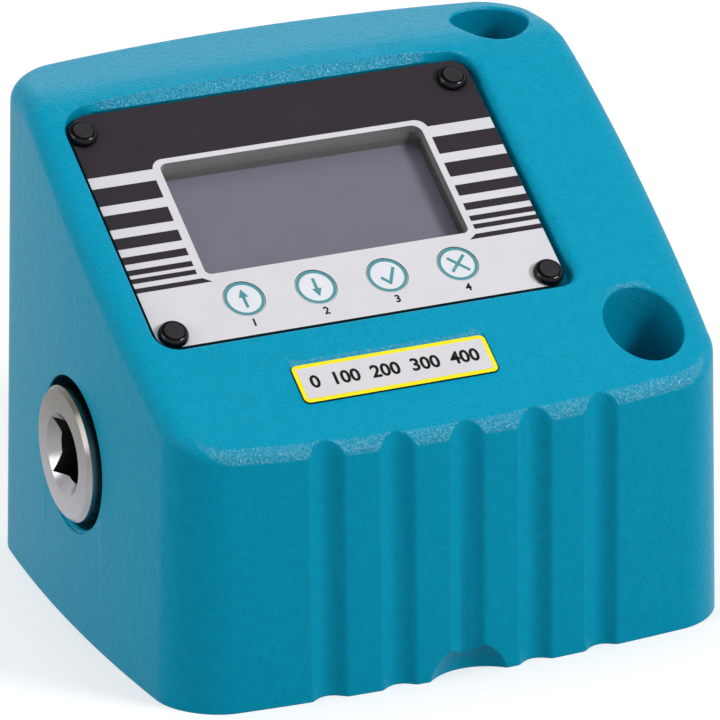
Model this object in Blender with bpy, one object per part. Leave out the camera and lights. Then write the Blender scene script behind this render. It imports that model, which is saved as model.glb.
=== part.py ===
"""Electronic torque tester: a cast wedge housing, a sloping facia with a display and four keys,
and a square drive socket in the left side.

Metres, +Z up. The origin is the middle of the underside. The drive socket faces -X and the fluted
front faces -Y. The facia's own frame has x across, y up the slope and z out of its top face.
"""

import math

import bmesh
import bpy
from mathutils import Matrix, Vector

# Clearances, and how finely curves are drawn
GAP = 0.0003
RUN_OUT = 0.004
MERGE = 1e-6
ON_AXIS = [(0, 0)]
FINE_STEPS = 36
ROUND_STEPS = 24
SMALL_STEPS = 12
HOLE_STEPS = 8
CORNER_STEPS = 6
FLAT_STEPS = 4
SHARP_FROM = math.radians(35)

# Housing casting, outside
BODY_WIDTH = 0.1364
BODY_DEPTH = 0.1201
BODY_HEIGHT = 0.1109
CREASE_HEIGHT = 0.0560
TOP_LENGTH = 0.02895
SLOPE_BLEND_R = 0.019
TOP_CROWN = 0.00075
SIDE_BOW = 0.0035
FRONT_BOW = 0.0038
REAR_BOW = 0.0055
FRONT_CORNER_R = 0.012
REAR_CORNER_R = 0.013
EDGE_R = 0.0048
EDGE_STEPS = 5
DRAFT = math.radians(1.5)

# Flutes and finger scoop in the front wall
FLUTE_COUNT = 5
FLUTE_PITCH = 0.016
FLUTE_WIDTH = 0.0112
FLUTE_DEPTH = 0.0019
FLUTE_STEPS = 8
SCOOP_RADIUS = 0.0133
SCOOP_DEPTH = 0.0038
SCOOP_DROP = 0.0019

# Housing casting, inside
WALL = 0.0065
TOP_WALL = 0.006
FACIA_WALL = 0.0036
INNER_EDGE_R = 0.003
WEB_THICKNESS = 0.008
WEB_ABOVE_FLANGE = 0.0009
COLUMN_WALL = 0.0037

# Bolt holes that fix the tester to a bench
BOLT_CLEARANCE_R = 0.0055
BOLT_HEAD_R = 0.00876
BOLT_SEAT_HEIGHT = 0.012
BOLT_FROM_RIGHT = 0.0188
FRONT_BOLT_FROM_FRONT = 0.0181
REAR_BOLT_FROM_REAR = 0.0227

# Base plate and its countersunk screws
BASE_THICKNESS = 0.0025
BASE_RIM = 0.0045
BASE_SCREW_R = 0.002
BASE_SCREW_HEAD_R = 0.0038
BASE_SCREW_HEAD_HEIGHT = 0.0018
BASE_SCREW_LENGTH = 0.012
BASE_BOSS_R = 0.005
BASE_SCREW_EDGE = 0.006
BASE_SCREW_RIGHT_SPAN = 0.040

# Facia plate, in its recess in the slope
FACIA_FROM_LEFT = 0.0108
FACIA_TO_BOLT_HEAD = 0.00264
FACIA_FROM_KNEE = 0.0382
PLATE_INSET = 0.00186
PLATE_HEIGHT = 0.0646
PLATE_THICKNESS = 0.002
PLATE_CORNER_R = 0.004
RECESS_SIDE_GAP = 0.0014
RECESS_BOTTOM_GAP = 0.0017
RECESS_TOP_GAP = 0.0007
RECESS_TOP_FLARE = 0.0025
RECESS_CORNER_R = 0.0055

# Window, lens and display
WINDOW_WIDTH = 0.0619
WINDOW_HEIGHT = 0.031
WINDOW_CORNER_R = 0.0025
WINDOW_UP = 0.0007
LENS_MARGIN = 0.002
LENS_THICKNESS = 0.001
DISPLAY_DEPTH = 0.0058
GLASS_DROP = 0.0007
GLASS_THICKNESS = 0.0015

# Keys and the switches under them
KEY_NAMES = ("key_up", "key_down", "key_accept", "key_clear")
KEY_PITCH = 0.0167
KEY_R = 0.0046
KEY_THICKNESS = 0.0016
KEY_DOWN = 0.0226
KEY_TRAVEL = 0.0004
KEY_STEM_R = 0.002
SWITCH_SIZE = 0.006
SWITCH_CORNER_R = 0.0005
SWITCH_PLUNGER_R = 0.0016
SWITCH_PLUNGER_HEIGHT = 0.0004

# Domed rivets in the facia's corners
RIVET_HEAD_R = 0.0032
RIVET_HEAD_HEIGHT = 0.0021
RIVET_SHANK_R = 0.0015
RIVET_FROM_SIDE = 0.0038
RIVET_FROM_END = 0.004
RIVET_DROP = 0.0009
RIVET_STEPS = 16

# Circuit board, its bosses and its screws
BOARD_BESIDE_DISPLAY = 0.002
BOARD_HEIGHT = 0.058
BOARD_THICKNESS = 0.0016
BOARD_CORNER_R = 0.002
BOARD_ROOM = 0.001
BOARD_SCREW_FROM_END = 0.0045
BOARD_SCREW_R = 0.00125
BOARD_SCREW_HEAD_R = 0.0024
BOARD_SCREW_HEAD_HEIGHT = 0.0018
BOARD_SCREW_GRIP = 0.0035
BOARD_BOSS_R = 0.0035

# Range label on the slope, below the facia
LABEL_WIDTH = 0.0446
LABEL_HEIGHT = 0.0099
LABEL_THICKNESS = 0.0005
LABEL_POCKET = 0.0006
LABEL_ABOVE_MIDDLE = 0.00185
LABEL_CORNER_R = 0.0008

# Torque transducer along X, with its square socket in the left side
DRIVE_HEIGHT = 0.0400
HUB_R = 0.0151
HUB_CHAMFER = 0.0007
HUB_LENGTH = 0.0195
HUB_PROUD = 0.0020
DRIVE_BORE_R = 0.0170
SQUARE = 0.0128
SQUARE_DEPTH = 0.017
PILOT_R = 0.0068
PILOT_DEPTH = 0.0185
COUNTERSINK_R = 0.0092
COUNTERSINK_DEPTH = 0.003
TORSION_R = 0.009
TORSION_FILLET = 0.002
TORSION_LENGTH = 0.026
FLANGE_R = 0.022
FLANGE_THICKNESS = 0.008
FLANGE_SCREWS = 6
FLANGE_SCREW_CIRCLE_R = 0.0165
FLANGE_SCREW_R = 0.002
FLANGE_SCREW_HEAD_R = 0.0035
FLANGE_SCREW_HEAD_HEIGHT = 0.004
FLANGE_SCREW_BITE = 0.0065
SLEEVE_WALL = 0.0035
SLEEVE_END_GAP = 0.003

# Power inlet in the rear wall
INLET_FROM_LEFT = 0.0322
INLET_HEIGHT = 0.030
INLET_BARREL_R = 0.0055
INLET_FLANGE_R = 0.0072
INLET_FLANGE_THICKNESS = 0.0015
INLET_SPOT_R = 0.0088
INLET_SPOT_DEPTH = 0.0018
INLET_WALL = 0.004
INLET_LENGTH = 0.018
INLET_SOCKET_R = 0.0032
INLET_SOCKET_DEPTH = 0.009
INLET_PIN_R = 0.001
INLET_NUT_R = 0.008
INLET_NUT_THICKNESS = 0.003
INLET_NUT_SIDES = 6

# Leads inside the housing
LEAD_R = 0.0014
LEAD_BEND = 0.015
LEAD_FROM_BOARD_SIDE = 0.009
GAUGE_LEAD_UP = 0.004
POWER_LEAD_UP = 0.022
LEAD_POINTS = 20

HALF_WIDTH = BODY_WIDTH / 2
HALF_DEPTH = BODY_DEPTH / 2
SLOPE_RUN = BODY_DEPTH - TOP_LENGTH
SLOPE_RISE = BODY_HEIGHT - CREASE_HEIGHT
SLOPE = math.atan2(SLOPE_RISE, SLOPE_RUN)
BOLT_X = HALF_WIDTH - BOLT_FROM_RIGHT
FRONT_BOLT_Y = -HALF_DEPTH + FRONT_BOLT_FROM_FRONT
REAR_BOLT_Y = HALF_DEPTH - REAR_BOLT_FROM_REAR
HUB_FACE_X = -HALF_WIDTH + DRIVE_HEIGHT * math.tan(DRAFT) - HUB_PROUD
FLANGE_X = HUB_FACE_X + HUB_LENGTH + TORSION_FILLET + TORSION_LENGTH
WEB_X = FLANGE_X + FLANGE_THICKNESS + GAP
WEB_HEIGHT = DRIVE_HEIGHT + FLANGE_R + WEB_ABOVE_FLANGE
SLEEVE_R = TORSION_R + GAP + SLEEVE_WALL
SLEEVE_START = HUB_LENGTH + TORSION_FILLET + SLEEVE_END_GAP
SLEEVE_END = FLANGE_X - HUB_FACE_X - FLANGE_SCREW_HEAD_HEIGHT - SLEEVE_END_GAP
INLET_X = -HALF_WIDTH + INLET_FROM_LEFT

# The facia spans from the left side to the bolt heads, and the label lies between it and the crease
PLATE_LEFT = -HALF_WIDTH + FACIA_FROM_LEFT
PLATE_RIGHT = BOLT_X - BOLT_HEAD_R - FACIA_TO_BOLT_HEAD
PLATE_WIDTH = PLATE_RIGHT - PLATE_LEFT
FACIA_X = (PLATE_LEFT + PLATE_RIGHT) / 2
FACIA_ALONG_SLOPE = math.hypot(SLOPE_RUN, SLOPE_RISE) - FACIA_FROM_KNEE
RIVET_X = PLATE_WIDTH / 2 - RIVET_FROM_SIDE
RIVET_Y = PLATE_HEIGHT / 2 - RIVET_FROM_END
LABEL_DOWN = (FACIA_ALONG_SLOPE + PLATE_HEIGHT / 2) / 2 - LABEL_ABOVE_MIDDLE

# The board is as wide as the display needs, and its screws stand between the outer keys
BOARD_WIDTH = WINDOW_WIDTH + 2 * LENS_MARGIN + 2 * BOARD_BESIDE_DISPLAY
BOARD_SCREW_X = KEY_PITCH
BOARD_SCREW_Y = BOARD_HEIGHT / 2 - BOARD_SCREW_FROM_END

# Heights of the layers behind the facia, from the top face of the plate
RECESS_FLOOR = -PLATE_THICKNESS - GAP
LENS_TOP = RECESS_FLOOR
INNER_SKIN = RECESS_FLOOR - FACIA_WALL
DISPLAY_TOP = LENS_TOP - LENS_THICKNESS - GAP
BOARD_TOP = DISPLAY_TOP - DISPLAY_DEPTH - GAP
BOARD_BOTTOM = BOARD_TOP - BOARD_THICKNESS
STEM_END = INNER_SKIN - GAP
PLUNGER_TOP = STEM_END - KEY_TRAVEL - GAP

MATERIALS = {
    "turquoise_paint": ((0.0, 0.27, 0.42), 0.42, 0.0),
    "steel": ((0.62, 0.59, 0.56), 0.28, 1.0),
    "zinc_plate": ((0.55, 0.55, 0.54), 0.4, 1.0),
    "facia_print": ((0.72, 0.71, 0.74), 0.35, 0.0),
    "black_plastic": ((0.008, 0.008, 0.009), 0.12, 0.0),
    "clear_window": ((0.75, 0.75, 0.78), 0.05, 0.0),
    "display_frame": ((0.03, 0.03, 0.032), 0.5, 0.0),
    "display_glass": ((0.19, 0.175, 0.23), 0.2, 0.0),
    "key_plastic": ((0.72, 0.74, 0.78), 0.35, 0.0),
    "board": ((0.01, 0.12, 0.04), 0.45, 0.0),
    "label": ((0.75, 0.75, 0.74), 0.4, 0.0),
    "sleeve": ((0.02, 0.02, 0.02), 0.6, 0.0),
    "lead": ((0.25, 0.02, 0.02), 0.5, 0.0),
}


def clear_scene():
    for obj in list(bpy.data.objects):
        bpy.data.objects.remove(obj, do_unlink=True)


def make_material(name):
    colour, roughness, metallic = MATERIALS[name]
    material = bpy.data.materials.new(name)
    material.use_nodes = True
    shader = material.node_tree.nodes["Principled BSDF"]
    shader.inputs["Base Color"].default_value = (*colour, 1.0)
    shader.inputs["Roughness"].default_value = roughness
    shader.inputs["Metallic"].default_value = metallic
    return material


def get_material(name):
    return bpy.data.materials.get(name) or make_material(name)


def to_object(name, mesh_data, material=None, matrix=None, smooth=False):
    """Turns a bmesh into an object whose faces point out."""
    bmesh.ops.recalc_face_normals(mesh_data, faces=mesh_data.faces)
    mesh = bpy.data.meshes.new(name)
    mesh_data.to_mesh(mesh)
    mesh_data.free()
    if smooth:
        mesh.shade_smooth()
        mesh.set_sharp_from_angle(angle=SHARP_FROM)
    obj = bpy.data.objects.new(name, mesh)
    bpy.context.scene.collection.objects.link(obj)
    if material:
        mesh.materials.append(get_material(material))
    if matrix:
        obj.matrix_world = matrix
    return obj


def apply_boolean(obj, other, operation="DIFFERENCE"):
    """Cuts other from obj, or joins it on. The helper stays in the scene as a wire."""
    modifier = obj.modifiers.new(other.name, "BOOLEAN")
    modifier.operation = operation
    modifier.solver = "EXACT"
    modifier.object = other
    other.hide_render = True
    other.display_type = "WIRE"


def add_prism(mesh_data, outline, low, high, matrix=None):
    """An upright prism over a flat outline."""
    verts = [mesh_data.verts.new((x, y, low)) for x, y in outline]
    face = mesh_data.faces.new(verts)
    lifted = bmesh.ops.extrude_face_region(mesh_data, geom=[face])["geom"]
    top = [v for v in lifted if isinstance(v, bmesh.types.BMVert)]
    bmesh.ops.translate(mesh_data, vec=(0, 0, high - low), verts=top)
    if matrix:
        bmesh.ops.transform(mesh_data, matrix=matrix, verts=verts + top)


def prism(name, outline, low, high, material=None, matrix=None):
    mesh_data = bmesh.new()
    add_prism(mesh_data, outline, low, high)
    return to_object(name, mesh_data, material, matrix)


def rods(name, spots, radius, low, high, steps=SMALL_STEPS, material=None, matrix=None):
    """One mesh of upright rods at the given spots, in the frame of matrix."""
    mesh_data = bmesh.new()
    for x, y in spots:
        place = Matrix.Translation((x, y, (low + high) / 2))
        bmesh.ops.create_cone(mesh_data, cap_ends=True, segments=steps, radius1=radius,
                              radius2=radius, depth=high - low, matrix=place)
    return to_object(name, mesh_data, material, matrix, smooth=True)


def turned(name, profile, steps=ROUND_STEPS, material=None, matrix=None):
    """A solid turned about local Z from (radius, height) points that start and end on the axis."""
    mesh_data = bmesh.new()
    verts = [mesh_data.verts.new((radius, 0, height)) for radius, height in profile]
    edges = [mesh_data.edges.new(pair) for pair in zip(verts, verts[1:])]
    bmesh.ops.spin(mesh_data, geom=verts + edges, cent=(0, 0, 0), axis=(0, 0, 1),
                   angle=2 * math.pi, steps=steps)
    bmesh.ops.remove_doubles(mesh_data, verts=mesh_data.verts, dist=MERGE)
    return to_object(name, mesh_data, material, matrix, smooth=True)


def rounded_rectangle(width, height, radius, steps=FLAT_STEPS, centre=(0.0, 0.0)):
    """Outline points, anticlockwise from the right side of the upper right corner."""
    points = []
    for quarter, (side_x, side_y) in enumerate(((1, 1), (-1, 1), (-1, -1), (1, -1))):
        corner_x = centre[0] + side_x * (width / 2 - radius)
        corner_y = centre[1] + side_y * (height / 2 - radius)
        for step in range(steps + 1):
            angle = (quarter + step / steps) * math.pi / 2
            points.append((corner_x + radius * math.cos(angle), corner_y + radius * math.sin(angle)))
    return points


def slope_height(y, depth=0.0):
    """Height of the plane that lies depth below the slope's skin, at y."""
    return CREASE_HEIGHT + math.tan(SLOPE) * (y + HALF_DEPTH) - depth / math.cos(SLOPE)


def top_height(x, y, slope_depth=0.0, top_depth=0.0):
    """Height of the skin over (x, y): the slope, a blending arc and the crowned top."""
    top = BODY_HEIGHT - top_depth - TOP_CROWN * (x / HALF_WIDTH) ** 2
    slope = slope_height(y, slope_depth)
    knee = y + (top - slope) / math.tan(SLOPE)
    reach = SLOPE_BLEND_R * math.tan(SLOPE / 2)
    if y <= knee - reach * math.cos(SLOPE):
        return slope
    if y >= knee + reach:
        return top
    return top - SLOPE_BLEND_R + math.sqrt(SLOPE_BLEND_R ** 2 - (knee + reach - y) ** 2)


def flute_depth(x):
    """How deep the flutes are sunk into the front wall at x."""
    nearest = round(x / FLUTE_PITCH)
    if abs(nearest) > FLUTE_COUNT // 2:
        return 0.0
    offset = (x - nearest * FLUTE_PITCH) / (FLUTE_WIDTH / 2)
    return FLUTE_DEPTH * (1 - offset ** 2) ** 2 if abs(offset) < 1 else 0.0


def front_stations(limit, fluted):
    """Places along the front wall from limit down to the middle, closer together in the flutes."""
    stations = [limit * (1 - step / FLAT_STEPS) for step in range(FLAT_STEPS)]
    if fluted:
        outermost = FLUTE_COUNT // 2
        edge = outermost * FLUTE_PITCH + FLUTE_WIDTH / 2
        stations = [limit, (limit + edge) / 2]
        for flute in range(outermost, -1, -1):
            for step in range(FLUTE_STEPS + 1):
                station = flute * FLUTE_PITCH + FLUTE_WIDTH * (0.5 - step / FLUTE_STEPS)
                if station > FLUTE_WIDTH / FLUTE_STEPS / 2:
                    stations.append(station)
    return stations + [0.0]


def half_plan(inset, fluted=False):
    """Right half of the plan outline, rear middle to front middle: (place, outward, on the front)."""
    half_x = HALF_WIDTH - SIDE_BOW - inset
    front_y = HALF_DEPTH - FRONT_BOW - inset
    rear_y = HALF_DEPTH - REAR_BOW - inset
    front_r = max(FRONT_CORNER_R - inset, INNER_EDGE_R)
    rear_r = max(REAR_CORNER_R - inset, INNER_EDGE_R)
    flat = [((half_x - rear_r) * step / FLAT_STEPS, rear_y, 0, 1, False) for step in range(FLAT_STEPS)]
    for step in range(CORNER_STEPS + 1):
        angle = math.pi / 2 * (1 - step / CORNER_STEPS)
        out, along = math.cos(angle), math.sin(angle)
        corner_y = rear_y - rear_r
        flat.append((half_x - rear_r + rear_r * out, corner_y + rear_r * along, out, along, False))
    for step in range(1, CORNER_STEPS):
        y = rear_y - rear_r + (front_r - front_y - rear_y + rear_r) * step / CORNER_STEPS
        flat.append((half_x, y, 1, 0, False))
    for step in range(CORNER_STEPS):
        angle = -math.pi / 2 * step / CORNER_STEPS
        out, along = math.cos(angle), math.sin(angle)
        corner_y = front_r - front_y
        flat.append((half_x - front_r + front_r * out, corner_y + front_r * along, out, along, False))
    flat += [(x, -front_y, 0, -1, True) for x in front_stations(half_x - front_r, fluted)]
    plan = []
    for x, y, out_x, out_y, on_front in flat:
        depth, bow = (rear_y, REAR_BOW) if y > 0 else (front_y, FRONT_BOW)
        bowed_x = x * (1 + SIDE_BOW / half_x * (1 - (y / depth) ** 2))
        bowed_y = y * (1 + bow / depth * (1 - (x / half_x) ** 2))
        plan.append((Vector((bowed_x, bowed_y)), Vector((out_x, out_y)), on_front))
    return plan


def skin_column(place, outward, on_front, sizes):
    """Points up one line of the skin, from its foot to the end of its top rounding."""
    height = BODY_HEIGHT
    for _ in range(5):
        corner = place - outward * math.tan(DRAFT) * height
        height = top_height(corner.x, corner.y, sizes["slope_depth"], sizes["top_depth"])
    inner = corner - outward * GAP
    fall = (top_height(inner.x, inner.y, sizes["slope_depth"], sizes["top_depth"]) - height) / GAP
    sweep = math.pi / 2 - math.atan(fall)
    radius = sizes["edge_r"]
    spring = height - radius * math.tan(sweep / 2)
    points = [(0.0, sizes["foot"]), (0.0, spring)]
    for step in range(1, EDGE_STEPS + 1):
        angle = sweep * step / EDGE_STEPS
        points.append((radius * (1 - math.cos(angle)), spring + radius * math.sin(angle)))
    column = []
    for inward, level in points:
        wall = place - outward * math.tan(DRAFT) * min(level, spring)
        spot = wall - outward * inward
        if on_front and sizes["fluted"]:
            spot.y = max(spot.y, place.y + math.tan(DRAFT) * level + flute_depth(place.x))
        column.append(Vector((spot.x, spot.y, level)))
    column[-1].z = top_height(column[-1].x, column[-1].y, sizes["slope_depth"], sizes["top_depth"])
    return column


def add_skin(mesh_data, sizes, columns_across=CORNER_STEPS):
    """A closed solid under the skin: a wall, a rounded edge, a top of rows across, and a flat foot."""
    plan = half_plan(sizes["inset"], sizes["fluted"])
    right = [skin_column(*spot, sizes) for spot in plan]
    ring_verts = []
    for column in right:
        ring_verts.append([mesh_data.verts.new(point) for point in column])
    for column in reversed(right[1:-1]):
        ring_verts.append([mesh_data.verts.new((-point.x, point.y, point.z)) for point in column])
    total = len(ring_verts)
    for index in range(total):
        here, there = ring_verts[index], ring_verts[(index + 1) % total]
        for level in range(len(here) - 1):
            mesh_data.faces.new((here[level], there[level], there[level + 1], here[level + 1]))
    mesh_data.faces.new([column[0] for column in ring_verts])
    last = next(index for index, spot in enumerate(plan) if spot[2])
    rows = [[ring_verts[0][-1]]]
    for index in range(1, last + 1):
        near, far = ring_verts[index][-1], ring_verts[total - index][-1]
        row = [near]
        for step in range(1, columns_across):
            x = near.co.x * (1 - 2 * step / columns_across)
            z = top_height(x, near.co.y, sizes["slope_depth"], sizes["top_depth"])
            row.append(mesh_data.verts.new((x, near.co.y, z)))
        rows.append(row + [far])
    for step in range(columns_across):
        mesh_data.faces.new((rows[0][0], rows[1][step], rows[1][step + 1]))
    for upper, lower in zip(rows[1:], rows[2:]):
        for step in range(columns_across):
            mesh_data.faces.new((upper[step], upper[step + 1], lower[step + 1], lower[step]))
    front_edge = [ring_verts[index][-1] for index in range(last + 1, total - last)]
    mesh_data.faces.new(rows[-1] + list(reversed(front_edge)))


def skin_solid(name, material=None, **sizes):
    mesh_data = bmesh.new()
    add_skin(mesh_data, sizes)
    return to_object(name, mesh_data, material, smooth=True)


def full_plan(inset):
    """The whole plan outline at the base, without flutes, as (x, y) points."""
    right = [spot[0] for spot in half_plan(inset)]
    return [(p.x, p.y) for p in right] + [(-p.x, p.y) for p in reversed(right[1:-1])]


def facia_frame():
    """The facia's own frame: its origin is the middle of the plate's top face."""
    along = -HALF_DEPTH + FACIA_ALONG_SLOPE * math.cos(SLOPE)
    on_skin = Vector((FACIA_X, along, slope_height(along)))
    inward = Vector((0, math.sin(SLOPE), -math.cos(SLOPE)))
    return Matrix.Translation(on_skin + inward * PLATE_INSET) @ Matrix.Rotation(SLOPE, 4, "X")


def drive_frame():
    """A frame whose Z runs into the housing along the drive's axis, from the hub's face."""
    return Matrix.Translation((HUB_FACE_X, 0, DRIVE_HEIGHT)) @ Matrix.Rotation(math.pi / 2, 4, "Y")


def rear_wall_y(x, height):
    """Where the outer skin of the rear wall lies at x and at a height."""
    half_x = HALF_WIDTH - SIDE_BOW
    return HALF_DEPTH - REAR_BOW * (x / half_x) ** 2 - math.tan(DRAFT) * height


def inlet_frame():
    """A frame whose Z runs out of the rear wall, from the floor of the inlet's spot face."""
    floor = rear_wall_y(INLET_X, INLET_HEIGHT) - INLET_SPOT_DEPTH
    return Matrix.Translation((INLET_X, floor, INLET_HEIGHT)) @ Matrix.Rotation(-math.pi / 2, 4, "X")


def bolt_spots():
    return [(BOLT_X, FRONT_BOLT_Y), (BOLT_X, REAR_BOLT_Y)]


def base_screw_spots():
    inset = BASE_RIM + BASE_SCREW_EDGE
    left = -HALF_WIDTH + SIDE_BOW + inset
    right = HALF_WIDTH - inset
    return [(left, -HALF_DEPTH + FRONT_BOW + inset), (left, HALF_DEPTH - REAR_BOW - inset),
            (right, -BASE_SCREW_RIGHT_SPAN / 2), (right, BASE_SCREW_RIGHT_SPAN / 2)]


def key_spots():
    return [(KEY_PITCH * (index - 1.5), -KEY_DOWN) for index in range(len(KEY_NAMES))]


def corner_spots(x, y):
    return [(-x, -y), (x, -y), (x, y), (-x, y)]


def rivet_spots():
    return [(x, y - RIVET_DROP) for x, y in corner_spots(RIVET_X, RIVET_Y)]


def flange_screw_spots():
    angles = [2 * math.pi * index / FLANGE_SCREWS for index in range(FLANGE_SCREWS)]
    return [(FLANGE_SCREW_CIRCLE_R * math.cos(a), FLANGE_SCREW_CIRCLE_R * math.sin(a)) for a in angles]


def make_cavity():
    """The hollow under the housing, less the web, the bolt columns and the screw bosses."""
    cavity = skin_solid("cavity_cutter", inset=WALL, slope_depth=PLATE_INSET - INNER_SKIN,
                        top_depth=TOP_WALL, edge_r=INNER_EDGE_R, foot=-RUN_OUT, fluted=False)
    web_plan = [(WEB_X, -HALF_DEPTH), (WEB_X + WEB_THICKNESS, -HALF_DEPTH),
                (WEB_X + WEB_THICKNESS, HALF_DEPTH), (WEB_X, HALF_DEPTH)]
    web = prism("web_keeper", web_plan, -2 * RUN_OUT, WEB_HEIGHT)
    room = rounded_rectangle(BOARD_WIDTH + 2 * BOARD_ROOM, BOARD_HEIGHT + 2 * BOARD_ROOM, BOARD_CORNER_R, 2)
    apply_boolean(web, prism("board_room_cutter", room, BOARD_BOTTOM - BOARD_ROOM, RUN_OUT,
                             matrix=facia_frame()))
    columns = rods("column_keeper", bolt_spots(), BOLT_HEAD_R + COLUMN_WALL, -2 * RUN_OUT, BODY_HEIGHT,
                   ROUND_STEPS)
    bosses = rods("boss_keeper", base_screw_spots(), BASE_BOSS_R, -2 * RUN_OUT, BODY_HEIGHT)
    board_bosses = rods("board_boss_keeper", corner_spots(BOARD_SCREW_X, BOARD_SCREW_Y), BOARD_BOSS_R,
                        BOARD_TOP + GAP, 0.0, matrix=facia_frame())
    for keeper in (web, columns, bosses, board_bosses):
        apply_boolean(cavity, keeper)
    return cavity


def recess_cutter():
    """The facia's recess, whose upper wall leans back and bows towards the middle."""
    width = PLATE_WIDTH + 2 * RECESS_SIDE_GAP
    height = PLATE_HEIGHT + RECESS_TOP_GAP + RECESS_BOTTOM_GAP
    middle = (0, (RECESS_TOP_GAP - RECESS_BOTTOM_GAP) / 2)
    outline = rounded_rectangle(width, height, RECESS_CORNER_R, centre=middle)
    steps_across = 8
    corner = len(outline) // 4
    span = [(x * (1 - 2 * step / steps_across), y) for x, y in outline[corner - 1:corner]
            for step in range(1, steps_across)]
    outline = outline[:corner] + span + outline[corner:]
    mesh_data = bmesh.new()
    rings = []
    for level in (RECESS_FLOOR, 0.0, PLATE_INSET + RUN_OUT):
        ring = []
        for x, y in outline:
            bow = max(0.0, 1 - (2 * x / width) ** 2) if y > height / 2 - RECESS_CORNER_R else 0.0
            flare = RECESS_TOP_FLARE * bow * max(level, 0.0) / PLATE_INSET
            ring.append(mesh_data.verts.new((x, y + flare, level)))
        rings.append(ring)
    mesh_data.faces.new(rings[0])
    mesh_data.faces.new(rings[-1])
    for lower, upper in zip(rings, rings[1:]):
        for index in range(len(lower)):
            following = (index + 1) % len(lower)
            mesh_data.faces.new((lower[index], lower[following], upper[following], upper[index]))
    return to_object("recess_cutter", mesh_data, matrix=facia_frame())


def window_outline(margin):
    return rounded_rectangle(WINDOW_WIDTH + 2 * margin, WINDOW_HEIGHT + 2 * margin, WINDOW_CORNER_R,
                             centre=(0, WINDOW_UP))


def scoop_cutter():
    mesh_data = bmesh.new()
    bmesh.ops.create_uvsphere(mesh_data, u_segments=28, v_segments=16, radius=SCOOP_RADIUS)
    place = Matrix.Translation((0, -HALF_DEPTH + SCOOP_DEPTH - SCOOP_RADIUS, -SCOOP_DROP))
    return to_object("scoop_cutter", mesh_data, matrix=place)


def facia_cutters():
    """What is cut into the slope, in the facia's frame."""
    frame = facia_frame()
    label_pocket = rounded_rectangle(LABEL_WIDTH + 2 * GAP, LABEL_HEIGHT + 2 * GAP, LABEL_CORNER_R + GAP, 2,
                                     (0, -LABEL_DOWN))
    return [
        recess_cutter(),
        prism("display_opening_cutter", window_outline(LENS_MARGIN + GAP), INNER_SKIN - RUN_OUT,
              RECESS_FLOOR + GAP, matrix=frame),
        rods("stem_hole_cutter", key_spots(), KEY_STEM_R + 2 * GAP, INNER_SKIN - GAP, RECESS_FLOOR + GAP,
             matrix=frame),
        rods("rivet_hole_cutter", rivet_spots(), RIVET_SHANK_R + GAP, INNER_SKIN, RECESS_FLOOR + GAP,
             HOLE_STEPS, matrix=frame),
        rods("board_screw_hole_cutter", corner_spots(BOARD_SCREW_X, BOARD_SCREW_Y), BOARD_SCREW_R + GAP,
             BOARD_TOP - GAP, BOARD_TOP + BOARD_SCREW_GRIP + 2 * GAP, HOLE_STEPS, matrix=frame),
        prism("label_pocket_cutter", label_pocket, PLATE_INSET - LABEL_POCKET, PLATE_INSET + RUN_OUT,
              matrix=frame),
    ]


def base_cutters():
    """What is cut from below: the rebate for the base plate, the screw holes and the bolt holes."""
    above = BODY_HEIGHT + RUN_OUT
    return [
        prism("base_rebate_cutter", full_plan(BASE_RIM), -RUN_OUT, BASE_THICKNESS + GAP),
        rods("base_screw_hole_cutter", base_screw_spots(), BASE_SCREW_R + GAP, BASE_THICKNESS,
             BASE_SCREW_LENGTH + 2 * GAP, HOLE_STEPS),
        rods("bolt_head_cutter", bolt_spots(), BOLT_HEAD_R, BOLT_SEAT_HEIGHT, above, ROUND_STEPS),
        rods("bolt_hole_cutter", bolt_spots(), BOLT_CLEARANCE_R, -RUN_OUT, BOLT_SEAT_HEIGHT + RUN_OUT,
             ROUND_STEPS),
        scoop_cutter(),
    ]


def side_cutters():
    """The drive bore, the flange's screw holes in the web, and the inlet's hole and spot face."""
    drive = drive_frame()
    inlet = inlet_frame()
    web_start = WEB_X - HUB_FACE_X
    return [
        rods("drive_bore_cutter", ON_AXIS, DRIVE_BORE_R, -RUN_OUT, HUB_LENGTH, FINE_STEPS, matrix=drive),
        rods("web_screw_hole_cutter", flange_screw_spots(), FLANGE_SCREW_R + GAP, web_start - GAP,
             web_start + FLANGE_SCREW_BITE + GAP, HOLE_STEPS, matrix=drive),
        rods("inlet_spot_cutter", ON_AXIS, INLET_SPOT_R, 0.0, INLET_SPOT_DEPTH + RUN_OUT, ROUND_STEPS,
             matrix=inlet),
        rods("inlet_seat_cutter", ON_AXIS, INLET_NUT_R + 2 * GAP, -INLET_WALL - RUN_OUT, -INLET_WALL,
             ROUND_STEPS, matrix=inlet),
        rods("inlet_hole_cutter", ON_AXIS, INLET_BARREL_R + GAP, -INLET_WALL - RUN_OUT, RUN_OUT,
             ROUND_STEPS, matrix=inlet),
    ]


def make_housing():
    housing = skin_solid("housing", "turquoise_paint", inset=0.0, slope_depth=0.0, top_depth=0.0,
                         edge_r=EDGE_R, foot=0.0, fluted=True)
    apply_boolean(housing, make_cavity())
    for cutter in base_cutters() + facia_cutters() + side_cutters():
        apply_boolean(housing, cutter)
    return housing


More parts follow.
